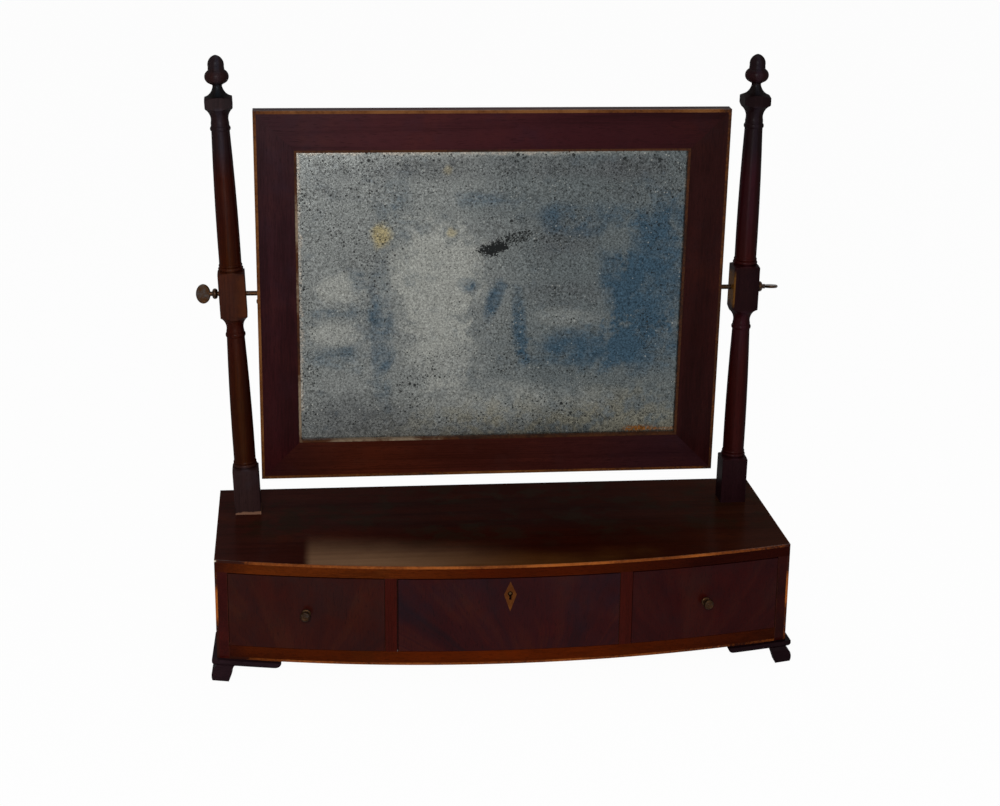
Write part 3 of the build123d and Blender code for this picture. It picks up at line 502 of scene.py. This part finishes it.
def turnedExtras(settings):
    def extras(f, body, coat):
        # painted shade darkens the right side, and a painted highlight runs down the front of what is round
        x, y, z = f.axes()
        slow = f.noise(f.place((60.0, 60.0, 14.0)), 1.0, 3.0, 0.6)
        across = x - (z - boardTop) * settings["lean"] - settings["at"]
        ahead = pivotY - y
        away = (across * across + ahead * ahead) ** 0.5
        # painted shade on the right side of each post and finial
        right = (across / away + (slow - 0.5) * 0.4).step(0.15, 0.95)
        body = f.blend(body, f.times(body, turned["right"]), right)
        flat = 0.0
        for low, high in turned["squares"]:
            flat = between(z, low, high, 0.003) + flat
        # a painted highlight down the front of what is round, left out on the squares
        streak = (ahead / away + (slow - 0.5) * 0.06).step(0.92, 1.0) * (1.0 - flat)
        body = f.blend(body, f.times(body, turned["streak"]), streak)
        if "wear" in settings:
            body = settings["wear"](f, body, x, z, across)
        return body, coat
    return extras


for name, settings in turnings.items():
    heights, waver = (postTones, 0.012) if "post" in name else (finialTones, 0.006)
    tones = [(height, settings[part]) for height, part in heights]
    give(polished(name, "Z", settings["seed"], tones, turned["rough"], turned["coat"],
                  turned["coatRough"], turnedExtras(settings), waver), name)
print("feet, posts and finials polished")

# figured veneer of the drawer fronts
# the fronts darken from left to right: painted shade of light that falls off to the right, on top of their
# own colour
figure = {
    "left_drawer_front": {
        "seed": 31, "middle": -0.21, "lean": 0.15, "spread": 0.75,
        "dark": (0.0130, 0.0026, 0.0026), "mid": (0.0245, 0.0038, 0.0024), "light": (0.0370, 0.0080, 0.0030),
    },
    "centre_drawer_front": {
        "seed": 32, "middle": 0.0, "lean": 0.35, "spread": 0.9,
        "dark": (0.0110, 0.0030, 0.0042), "mid": (0.0210, 0.0030, 0.0034), "light": (0.0380, 0.0070, 0.0034),
    },
    "right_drawer_front": {
        "seed": 33, "middle": 0.20, "lean": -0.25, "spread": 0.8,
        "dark": (0.0105, 0.0010, 0.0012), "mid": (0.0190, 0.0014, 0.0014), "light": (0.0290, 0.0042, 0.0022),
    },
}
veneers = {
    "middleHeight": 0.06,
    "blue": (0.75, 1.25, 1.60), "red": (1.25, 0.90, 0.80),      # times the colour, in clouds
    "poreDark": 0.3, "rough": 0.40, "coatRough": 0.22, "relief": 0.00014,
    "sway": {"scale": 14.0, "detail": 2.0, "rough": 0.5},
    "clouds": {"scale": 30.0, "detail": 4.0, "rough": 0.6},
    "rubbed": {"scale": 22.0, "detail": 4.0, "rough": 0.65},
    "plume": {"detail": 3.0, "rough": 0.6, "warp": 0.8},
    "broad": {"detail": 2.0, "rough": 0.5, "warp": 0.4},
    "fibres": {"cross": 900.0, "along": 30.0, "detail": 2.0, "rough": 0.6},
    "pores": {"cross": 1800.0, "along": 160.0, "detail": 1.0},
    "levels": (0.34, 0.50, 0.68),       # of the figure that are dark, middling and light
    "poresFrom": (0.60, 0.72), "blueFrom": (0.48, 0.70), "redFrom": (0.46, 0.30),
}


def veneer(name, seed, middle, lean, spread, dark, mid, light):
    # plumes that fan out upwards: noise over (x / height, height), bent by slow noise, under clouds
    f = Finish(name + "Veneer")
    x, y, z = f.axes()
    sway = f.clouds((seed, 0, 0), **veneers["sway"]) - 0.5
    fan = (x - middle + (z - veneers["middleHeight"]) * lean + sway * 0.03) / (z * 1.4 + 0.03)
    plumeAt = f.point(fan * 6.0, y * 2.0, z * 7.0 + fan * fan * 3.0 + seed)
    plume = f.noise(plumeAt, **veneers["plume"])
    broad = f.noise(f.point(fan * 2.4, 0.0, z * 9.0 + seed * 2.0), **veneers["broad"])
    clouds = f.clouds((seed, 3.0, 1.0), **veneers["clouds"])
    fibres = grain(f, "Z", seed, **veneers["fibres"])
    pores = grain(f, "Z", seed + 2, **veneers["pores"]).step(*veneers["poresFrom"])
    level = (plume * 0.45 + broad * 0.55 - 0.5) * spread + 0.5 + (fibres - 0.5) * 0.10
    body = f.ramp(level, *zip(veneers["levels"], (dark, mid, light)))
    blue = (clouds + (z - 0.07) * 2.0).step(*veneers["blueFrom"])
    body = f.blend(body, f.times(body, veneers["blue"]), blue * 0.7)
    body = f.blend(body, f.times(body, veneers["red"]), clouds.step(*veneers["redFrom"]) * 0.6)
    body = f.blend(body, tuple(c * veneers["poreDark"] for c in dark), pores * 0.5)
    rubbed = f.clouds((2.0, seed, 4.0), **veneers["rubbed"])
    surface = veneers["rough"] + (rubbed - 0.5) * 0.22 + pores * 0.1
    relief = f.bump(fibres * 0.2 - pores * 0.8 + rubbed * 0.6, veneers["relief"])
    f.shade(CoatWeight=rubbed * 0.10 + 0.04, CoatRoughness=veneers["coatRough"], SpecularIORLevel=0.0)
    return f.shade(BaseColor=body, Roughness=surface, Normal=relief)


for name, settings in figure.items():
    give(veneer(name, **settings), name)
print("drawer fronts veneered")

# light lines, the keyhole plate and the slip
frontDirt = {
    "upright": (0.2755, 0.0015),        # lines farther than this from the middle stand upright
    "left": (-0.238, -0.262), "right": (0.16, 0.27), "low": (0.05, 0.03),
    "freshAt": 0.077, "fresh": (0.012, 0.024),
}
frameDirt = {"right": (0.215, 0.225), "low": (0.175, 0.165), "left": (-0.228, -0.233)}
# pale places on the slip: painted highlights
slipHighlights = [
    (-0.1955, 0.235, 0.012, 0.060, 0, 1.0), (-0.125, 0.192, 0.085, 0.010, 0, 0.6),
    (-0.1955, 0.40, 0.012, 0.10, 0, 0.5),
]
chipped = {"colour": (0.62, 0.56, 0.46), "chips": [(-0.2795, 0.1218, 0.0014, 0.0012, 0, 1.0)]}


def frontSoil(f, x, z, soil):
    # dirt gathers at the ends of the long lines and on the upright ones, but for a stretch half-way up
    shake = soil - 0.5
    upright = (abs(x) - frontDirt["upright"][0]).step(0.0, frontDirt["upright"][1])
    left = (x + shake * 0.03).step(*frontDirt["left"]) * 0.5
    right = (x + shake * 0.05).step(*frontDirt["right"]) * 0.25
    fresh = abs(z - frontDirt["freshAt"]).step(*frontDirt["fresh"]) * 0.5 - 0.1
    return soil + (left + right) * (1.0 - upright) + z.step(*frontDirt["low"]) * 0.10 + upright * fresh


def frameSoil(f, x, z, soil):
    # the frame's line is dark at the right side and dull along the bottom and left
    right = x.step(*frameDirt["right"]) * 0.30
    low = z.step(*frameDirt["low"]) * 0.10
    left = x.step(*frameDirt["left"]) * 0.04
    return soil + right + low + left


def slipSoil(f, x, z, soil):
    # the slip is dirty but for its pale places, which are painted highlights
    return soil + 0.30 - blots(f, (x, z), slipHighlights, soil) * 0.45


lines = {
    "front_stringing": {
        "seed": 41, "dirt": 0.02, "soiled": frontSoil, "chips": chipped["chips"],
        "clean": (0.27, 0.075, 0.013), "mellow": (0.125, 0.030, 0.0050), "dirty": (0.022, 0.0045, 0.0022),
    },
    "mirror_stringing": {
        "seed": 42, "dirt": 0.05, "soiled": frameSoil,
        "clean": (0.14, 0.054, 0.015), "mellow": (0.082, 0.025, 0.0052), "dirty": (0.026, 0.0085, 0.0035),
    },
    "keyhole_plate": {
        "seed": 43, "dirt": 0.0,
        "clean": (0.122, 0.038, 0.0058), "mellow": (0.060, 0.0155, 0.0020), "dirty": (0.024, 0.0048, 0.0008),
    },
    "mirror_slip": {
        "seed": 44, "dirt": 0.0, "soiled": slipSoil,
        "clean": (0.20, 0.150, 0.100), "mellow": (0.050, 0.017, 0.0060), "dirty": (0.020, 0.0075, 0.0045),
    },
}
inlay = {
    "soil": {"scale": 16.0, "detail": 4.0, "rough": 0.6},
    "small": {"scale": 380.0, "detail": 3.0, "rough": 0.6},
    "mellowFrom": (0.50, 0.78), "dirtyFrom": (0.62, 0.84),
    "rough": 0.40, "shine": 0.05, "relief": 0.00012,
}


def inlaid(name, seed, dirt, clean, mellow, dirty, soiled=None, chips=None):
    # pale wood that old polish and dirt have darkened in patches
    f = Finish(name + "Inlay")
    x, z = f.axes()[::2]
    soil = f.clouds((seed, 1.0, 3.0), **inlay["soil"])
    small = f.clouds((seed, 4.0, 3.0), **inlay["small"])
    if soiled is not None:
        soil = soiled(f, x, z, soil)
    body = f.blend(clean, mellow, (soil + small * 0.3).step(*inlay["mellowFrom"]))
    body = f.blend(body, dirty, (soil * 0.6 + small * 0.5 + dirt).step(*inlay["dirtyFrom"]))
    if chips is not None:
        body = f.blend(body, chipped["colour"], blots(f, (x, z), chips, small))
    surface = inlay["rough"] + small * 0.15
    relief = f.bump(small, inlay["relief"])
    return f.shade(BaseColor=body, Roughness=surface, Normal=relief, SpecularIORLevel=inlay["shine"])


for name, settings in lines.items():
    give(inlaid(name, **settings), name)
print("light lines laid")

# plain woods inside and behind
plain = {
    "oak": {"dark": (0.13, 0.066, 0.030), "light": (0.30, 0.175, 0.088), "grime": (0.06, 0.029, 0.014)},
    "pine": {"dark": (0.12, 0.058, 0.024), "light": (0.26, 0.14, 0.062), "grime": (0.045, 0.023, 0.012)},
}
unpolished = {
    "rings": {"cross": 130.0, "along": 1.6, "detail": 2.0, "rough": 0.5, "warp": 0.9},
    "fibres": {"cross": 1100.0, "along": 22.0, "detail": 2.0, "rough": 0.6},
    "grime": {"scale": 11.0, "detail": 5.0, "rough": 0.65},
    "lightFrom": (0.36, 0.80), "grimeFrom": (0.52, 0.82),
    "rough": 0.72, "shine": 0.2, "relief": 0.00025,
}


def bare(name, run, seed, tone):
    # early and late wood in stripes, small flecks, and grime in clouds
    f = Finish(name + "Bare")
    rings = grain(f, run, seed, **unpolished["rings"])
    fibres = grain(f, run, seed + 3, **unpolished["fibres"])
    grime = f.clouds((seed, 2.0, 6.0), **unpolished["grime"])
    late = (rings * 0.8 + fibres * 0.4).step(*unpolished["lightFrom"])
    body = f.blend(tone["dark"], tone["light"], late)
    body = f.blend(body, tone["grime"], grime.step(*unpolished["grimeFrom"]) * 0.6)
    surface = unpolished["rough"] + fibres * 0.15
    relief = f.bump(rings * 0.5 + fibres * 0.5, unpolished["relief"])
    return f.shade(BaseColor=body, Roughness=surface, Normal=relief, SpecularIORLevel=unpolished["shine"])


linings = {"left_side": "Y", "right_side": "Y", "back": "X", "bottom": "X"}
seed = 51
for side in ("left", "centre", "right"):
    for lining, run in linings.items():
        name = f"{side}_drawer_{lining}"
        give(bare(name, run, seed, plain["oak"]), name)
        seed += 1
carcass = {
    "bottom_board": "X", "back_board": "X", "left_partition": "Y", "right_partition": "Y",
    "drawer_stops": "X", "foot_blocks": "X", "mirror_backboard": "X",
}
for seed, (name, run) in enumerate(carcass.items(), 71):
    give(bare(name, run, seed, plain["pine"]), name)
print("plain woods done")

metals = {
    "bronze": {
        "bright": (0.085, 0.048, 0.024), "aged": (0.030, 0.0135, 0.0055), "dark": (0.010, 0.0050, 0.0025),
        "rough": 0.32,
    },
    "brass": {
        "bright": (0.22, 0.135, 0.058), "aged": (0.075, 0.038, 0.0140), "dark": (0.016, 0.0085, 0.0040),
        "rough": 0.32,
    },
    "iron": {
        "bright": (0.14, 0.12, 0.105), "aged": (0.055, 0.038, 0.030), "dark": (0.016, 0.012, 0.010),
        "rough": 0.5,
    },
}
fittings = {        # each one's metal, and how much more it is tarnished
    "left_thumb_screw": ("bronze", 0.20), "right_thumb_screw": ("bronze", 0.20),
    "left_knob": ("bronze", 0.06), "right_knob": ("bronze", 0.06),
    "left_knob_nut": ("brass", 0.06), "right_knob_nut": ("brass", 0.06),
    "left_pivot_plate": ("brass", 0.06), "right_pivot_plate": ("brass", 0.06),
    "lock_case": ("brass", 0.06), "lock_bolt": ("brass", 0.06), "pivot_plate_screws": ("brass", 0.06),
    "backboard_brads": ("iron", 0.06), "lock_screws": ("iron", 0.06),
}
tarnish = {
    "clouds": {"scale": 130.0, "detail": 5.0, "rough": 0.62},
    "pits": {"scale": 900.0, "detail": 3.0, "rough": 0.6},
    "agedFrom": (0.34, 0.58), "dirtFrom": (0.56, 0.80), "relief": 0.00012,
}


def metal(name, seed, tone, patina):
    # tarnish in clouds over metal that shows where it is rubbed; the darkest of it is dirt and not metal
    f = Finish(name + "Metal")
    clouds = f.clouds((seed, 3.0, 1.0), **tarnish["clouds"])
    pits = f.clouds((seed, 5.0, 2.0), **tarnish["pits"])
    body = f.blend(tone["bright"], tone["aged"], (clouds + patina).step(*tarnish["agedFrom"]))
    dirt = (clouds * 0.6 + pits * 0.5 + patina * 0.4).step(*tarnish["dirtFrom"])
    body = f.blend(body, tone["dark"], dirt)
    relief = f.bump(pits * 0.6 + clouds * 0.4, tarnish["relief"])
    surface = tone["rough"] + clouds * 0.2
    return f.shade(BaseColor=body, Metallic=1.0 - dirt * 0.8, Roughness=surface, Normal=relief)


for seed, (name, (kind, patina)) in enumerate(fittings.items(), 81):
    give(metal(name, seed, metals[kind], patina), name)
print("metals done")

# the looking glass; places on it are shares of its half sizes, from its middle
glass = {
    "middle": (-0.0034, 0.3435),    # x and z of the seen glass's middle
    "half": (0.1935, 0.1505),
    "aspect": 1.286,                # half width over half height
    "left": (0.172, 0.181, 0.174), "right": (0.098, 0.112, 0.114),      # the usual tone at each side
    "rightFrom": (-0.35, 0.45),
    "edge": (0.30, 0.27, 0.23), "edgeFrom": (1.240, 1.262),     # of the rim, which is the aspect at the edge
    "edgeThin": 0.025, "edgeRight": (0.3, 0.9), "edgeBelow": (-0.6, -0.95),
    "sand": (0.195, 0.178, 0.125), "sandRight": (-0.8, 0.0), "sandBelow": (-0.55, -0.95),
    "sandFrom": (0.40, 0.60),
    "spot": (0.005, 0.006, 0.006), "paleDot": (0.34, 0.34, 0.31), "wornFrom": (0.55, 0.80),
    "metallic": 0.9, "rough": 0.17, "shine": 0.1, "relief": 0.00005,
    # noise: per metre, detail, roughness, warp
    "soft": (13.0, 5.0, 0.6, 0.3), "mottle": (75.0, 4.0, 0.65), "blotch": (32.0, 5.0, 0.7, 0.6),
    "fine": (620.0, 2.0, 0.6), "grit": (520.0, 3.0, 0.75),
    "crowd": (30.0, 4.0, 0.7), "frayed": (170.0, 4.0, 0.7),
    "speckled": [
        (-0.36, -0.58, 0.20, 0.22, 0, 0.8), (0.88, -0.52, 0.035, 0.11, 0, 1.0),
        (0.80, -0.20, 0.05, 0.14, 0, 0.8), (0.0, 0.90, 1.1, 0.09, 0, 1.0),
        (-0.7, 0.62, 0.40, 0.40, 0, 0.6), (0.10, -0.86, 1.0, 0.14, 0, 0.8),
        (0.30, 0.42, 0.3, 0.25, 0, 0.6), (-0.95, -0.2, 0.05, 0.9, 0, 0.8),
        (0.78, 0.70, 0.25, 0.25, 0, 0.8), (-0.60, 0.10, 0.12, 0.35, 0, 0.7),
    ],
    "worn": [
        (-0.01, 0.32, 0.105, 0.060, 8, 1.0), (0.11, 0.40, 0.14, 0.060, 24, 0.75),
        (-0.28, 0.32, 0.09, 0.05, 0, 0.4),
    ],
}
# clouds in the glass: bright clouds in the silvering, and dull and blue clouds that are painted reflections
# of the room; their spots, and how far each noise shakes the border between none and full
silveringAndReflections = {
    "dull": {
        "colour": (0.082, 0.086, 0.088), "weight": 0.75, "mottle": 1.3, "blotch": 1.0, "streak": 0.4,
        "from": (0.0, 1.1),
        "spots": [
            (0.0, 0.87, 1.05, 0.10, 0, 0.7), (-0.70, 0.74, 0.40, 0.16, 0, 0.35),
            (0.34, 0.40, 0.28, 0.24, 0, 0.7), (0.40, 0.02, 0.32, 0.14, 0, 0.6),
            (-0.68, -0.82, 0.42, 0.20, 0, 0.85), (-0.66, 0.24, 0.15, 0.20, 0, 0.4),
            (0.62, -0.78, 0.5, 0.14, 0, 0.35), (-0.05, 0.45, 0.20, 0.10, 6, 0.35),
            (0.74, 0.80, 0.3, 0.2, 0, 0.4),
        ],
    },
    "bright": {
        "colour": (0.262, 0.267, 0.245), "weight": 0.95, "mottle": 0.7, "blotch": 0.6, "streak": 0.0,
        "from": (0.08, 0.85),
        "spots": [
            (-0.28, 0.12, 0.26, 0.46, 0, 1.0), (-0.25, -0.38, 0.26, 0.34, 0, 0.55),
            (-0.80, 0.06, 0.17, 0.12, 0, 0.75), (-0.82, -0.24, 0.16, 0.10, 0, 0.65),
            (-0.57, -0.05, 0.035, 0.25, 0, 0.5), (0.38, -0.15, 0.30, 0.10, 2, 0.35),
            (0.10, -0.72, 0.70, 0.20, 0, 0.45), (-0.05, 0.98, 1.1, 0.05, 0, 0.5),
            (-0.5, 0.75, 0.5, 0.10, 2, 0.15),
        ],
    },
    "blue": {
        "colour": (0.036, 0.066, 0.094), "weight": 1.0, "mottle": 1.3, "blotch": 1.6, "streak": 0.4,
        "from": (0.05, 1.15),
        "spots": [
            (-0.56, -0.36, 0.075, 0.60, 0, 0.52), (-0.72, -0.42, 0.26, 0.12, 2, 0.28),
            (-0.85, -0.40, 0.18, 0.09, 3, 0.25), (-0.83, -0.10, 0.16, 0.05, 0, 0.4),
            (0.86, 0.22, 0.24, 0.56, -3, 0.95), (0.64, 0.10, 0.12, 0.34, 8, 0.7),
            (0.45, -0.38, 0.36, 0.18, 4, 0.8), (0.80, -0.36, 0.26, 0.26, 0, 0.75),
            (-0.04, 0.66, 0.22, 0.09, 0, 0.6), (0.01, -0.04, 0.055, 0.20, -14, 0.8),
            (0.15, -0.20, 0.055, 0.34, 4, 0.75), (-0.13, 0.08, 0.08, 0.07, 0, 0.55),
            (-0.66, 0.02, 0.10, 0.28, 0, 0.35), (0.45, 0.52, 0.35, 0.16, 0, 0.5),
            (-0.50, 0.62, 0.12, 0.25, 0, 0.35),
        ],
    },
}
stains = {
    "yellow": {
        "colour": (0.300, 0.245, 0.120),
        "spots": [
            (-0.57, 0.42, 0.06, 0.10, 0, 1.0), (-0.21, 0.44, 0.035, 0.045, 0, 0.6),
            (-0.23, 0.86, 0.03, 0.04, 0, 0.4),
        ],
    },
    "ochre": {
        "colour": (0.21, 0.075, 0.012),
        "spots": [(0.79, -0.955, 0.11, 0.035, 0, 1.0), (0.95, -0.96, 0.12, 0.02, 0, 0.6)],
    },
}
# black dots: the share of cells that have one, and what slow noise, speckling and wear add to it
dotSizes = [
    {"perMetre": 760.0, "radius": 0.46, "base": 0.26, "crowd": 0.6, "speckled": 0.35, "worn": 0.4,
     "mottled": 0.0, "depth": 0.60},
    {"perMetre": 400.0, "radius": 0.40, "base": 0.03, "crowd": 0.6, "speckled": 0.36, "worn": 0.5,
     "mottled": 0.0, "depth": 0.85},
    {"perMetre": 200.0, "radius": 0.34, "base": -0.04, "crowd": 0.25, "speckled": 0.12, "worn": 0.0,
     "mottled": 0.3, "depth": 0.9},
]
paleDots = {"perMetre": 420.0, "radius": 0.32, "base": 0.08, "crowd": 0.3, "depth": 0.5}


def dots(f, at, perMetre, radius, share, ragged):
    # round dots in a share of the cells of a Voronoi pattern, of a size that differs from cell to cell
    away = f.add("ShaderNodeTexVoronoi", {}, at, Scale=perMetre)
    chance = f.add("ShaderNodeSeparateColor", {}, away.beside("Color"))
    size = (chance.beside(1) * 0.75 + 0.45) * radius
    return (away + (ragged - 0.5) * 0.22 - size).step(0.05, -0.05) * (share - chance).step(0.0, 0.02)


def foxed():
    # old silvering with bright clouds, dull and blue clouds that are painted reflections of the room, a pale
    # rim, and black dots where the silver has gone
    f = Finish("foxedGlass")
    at = f.place()
    x, z = f.axes(at)[::2]
    u = (x - glass["middle"][0]) / glass["half"][0]
    v = (z - glass["middle"][1]) / glass["half"][1]
    kinds = ("soft", "mottle", "blotch", "fine", "grit", "crowd", "frayed")
    soft, mottle, blotch, fine, grit, crowd, frayed = [f.noise(at, *glass[kind]) for kind in kinds]
    streak = f.noise(f.place((22.0, 22.0, 260.0)), 1.0, 3.0, 0.6)
    ragged = soft * 0.6 + mottle * 1.1 - 0.35
    body = f.blend(glass["left"], glass["right"], (u + (soft - 0.5) * 0.9).step(*glass["rightFrom"]))
    spots = {}
    # bright clouds of silvering, and dull and blue clouds of painted reflection
    for kind, cloud in silveringAndReflections.items():
        spots[kind] = blots(f, (u, v), cloud["spots"], ragged)
        shaken = spots[kind] * cloud["weight"] + (mottle - 0.5) * cloud["mottle"]
        shaken = shaken + (blotch - 0.5) * cloud["blotch"] + (streak - 0.5) * cloud["streak"]
        body = f.blend(body, cloud["colour"], shaken.step(*cloud["from"]))
    sand = (v + (soft - 0.5) * 0.6).step(*glass["sandBelow"]) * u.step(*glass["sandRight"])
    body = f.blend(body, glass["sand"], sand * mottle.step(*glass["sandFrom"]) * 0.6)
    yellow = blots(f, (u, v), stains["yellow"]["spots"], mottle)
    body = f.blend(body, stains["yellow"]["colour"], yellow * 0.8)
    # the rim is equally wide at all four sides, but for less of it at the right and along the bottom
    rim = abs(u * glass["aspect"]).most(abs(v) + (glass["aspect"] - 1.0)) + (mottle - 0.5) * 0.09
    rim = rim - (u.step(*glass["edgeRight"]) + v.step(*glass["edgeBelow"])) * glass["edgeThin"]
    body = f.blend(body, glass["edge"], rim.step(*glass["edgeFrom"]) * fine.step(0.35, 0.5) * 0.9)
    ochre = blots(f, (u, v), stains["ochre"]["spots"], mottle)
    body = f.blend(body, stains["ochre"]["colour"], ochre * fine.step(0.38, 0.50))
    # dots are crowded where slow noise is high, in the speckled places and in the worn patch
    crowded = (crowd - 0.5) * 2.6 + (soft - 0.5) * 1.0
    speckled = blots(f, (u, v), glass["speckled"], ragged)
    worn = blots(f, (u, v), glass["worn"], frayed)
    light = 1.0 - spots["bright"].least(1.0) * 0.55
    gone = (worn + (fine - 0.5) * 2.4).step(*glass["wornFrom"])
    for size in dotSizes:
        share = crowded * size["crowd"] + speckled * size["speckled"] + size["base"]
        share = share * light + worn * size["worn"]
        edge = fine * (1.0 - size["mottled"]) + mottle * size["mottled"]
        gone = gone.most(dots(f, at, size["perMetre"], size["radius"], share, edge) * size["depth"])
    share = crowded * paleDots["crowd"] + paleDots["base"]
    pale = dots(f, at, paleDots["perMetre"], paleDots["radius"], share, fine)
    body = f.blend(body, glass["paleDot"], pale * paleDots["depth"])
    body = f.times(body, ((grit - 0.5) * (1.0 + light) * 1.7 + 0.92).most(0.1))
    body = f.blend(body, glass["spot"], gone)
    relief = f.bump(mottle, glass["relief"], 0.3)
    surface = glass["rough"] + soft * 0.10 + gone * 0.25
    f.shade(Metallic=glass["metallic"] - gone * 0.8, SpecularIORLevel=glass["shine"])
    return f.shade(BaseColor=body, Roughness=surface, Normal=relief)


give(foxed(), "mirror_glass")
print("glass silvered")

studio = {
    "floorHalf": 30.0, "floorTone": (0.84, 0.84, 0.84), "floorRough": 0.9, "floorLift": 0.97,
    "air": 0.25,
}
white = (1.0, 1.0, 1.0)


def floorFinish():
    # a pale floor, lifted towards white for the rays that see it
    f = Finish("paleFloor")
    f.shade(BaseColor=studio["floorTone"], Roughness=studio["floorRough"], SpecularIORLevel=0.0)
    glow = f.add("ShaderNodeEmission", {}, white, 1.0)
    both = f.add("ShaderNodeMixShader", {}, f.seenWhite(0.0, studio["floorLift"]), f.shader, glow)
    f.feed(f.end.inputs[0], both)
    return f.material


half = studio["floorHalf"]
corners = [(-half, -half, 0), (half, -half, 0), (half, half, 0), (-half, half, 0)]
floorMesh = bpy.data.meshes.new("floor")
floorMesh.from_pydata(corners, [], [(0, 1, 2, 3)])
floor = bpy.data.objects.new("floor", floorMesh)
bpy.context.scene.collection.objects.link(floor)
floor.data.materials.append(floorFinish())

world = bpy.data.worlds.new("studioAir")
bpy.context.scene.world = world
world.use_nodes = True
sky = Tree(world.node_tree)
air = sky.add("ShaderNodeBackground", {}, white, sky.seenWhite(studio["air"], 1.0))
sky.add("ShaderNodeOutputWorld", {}, air)

lamps = {
    "keyLamp": {"at": (-0.45, -2.3, 1.30), "to": (0, 0, 0.30), "size": 0.6, "power": 36.0},
    "frontLamp": {"at": (-0.35, -2.2, 0.22), "to": (0, 0, 0.30), "size": 0.5, "power": 6.0},
    "fillLamp": {"at": (1.7, -1.7, 1.3), "to": (0, 0, 0.30), "size": 1.4, "power": 7.0},
    "topLamp": {"at": (-0.1, 0.3, 2.3), "to": (0, 0, 0.10), "size": 1.2, "power": 6.0},
}
for name, lamp in lamps.items():
    light = bpy.data.lights.new(name, "AREA")
    light.shape = "SQUARE"
    light.size = lamp["size"]
    light.energy = lamp["power"]
    holder = bpy.data.objects.new(name, light)
    holder.location = lamp["at"]
    holder.rotation_mode = "QUATERNION"
    holder.rotation_quaternion = (Vector(lamp["to"]) - Vector(lamp["at"])).to_track_quat("-Z", "Y")
    bpy.context.scene.collection.objects.link(holder)
bpy.context.scene.view_settings.view_transform = "Standard"

view = {
    "at": (-0.19976, -1.83081, 0.81252), "yaw": 0.108993, "pitch": 0.297103, "roll": 0.012311,
    "lens": 70.311, "sensor": 36.0, "near": 0.05, "far": 100.0,
}


def photoCamera():
    # looks along yaw and pitch, then rolls about its own line of sight
    cosYaw, sinYaw = math.cos(view["yaw"]), math.sin(view["yaw"])
    cosPitch, sinPitch = math.cos(view["pitch"]), math.sin(view["pitch"])
    cosRoll, sinRoll = math.cos(view["roll"]), math.sin(view["roll"])
    ahead = Vector((sinYaw * cosPitch, cosYaw * cosPitch, -sinPitch))
    level = Vector((cosYaw, -sinYaw, 0))
    up = level.cross(ahead)
    right = cosRoll * level + sinRoll * up
    top = cosRoll * up - sinRoll * level
    lens = bpy.data.cameras.new("photoCamera")
    lens.lens = view["lens"]
    lens.sensor_width = view["sensor"]
    lens.sensor_fit = "HORIZONTAL"
    lens.clip_start = view["near"]
    lens.clip_end = view["far"]
    camera = bpy.data.objects.new("photoCamera", lens)
    camera.matrix_world = Matrix.Translation(view["at"]) @ Matrix((right, top, -ahead)).transposed().to_4x4()
    bpy.context.scene.collection.objects.link(camera)
    bpy.context.scene.camera = camera


photoCamera()
print("studio ready")
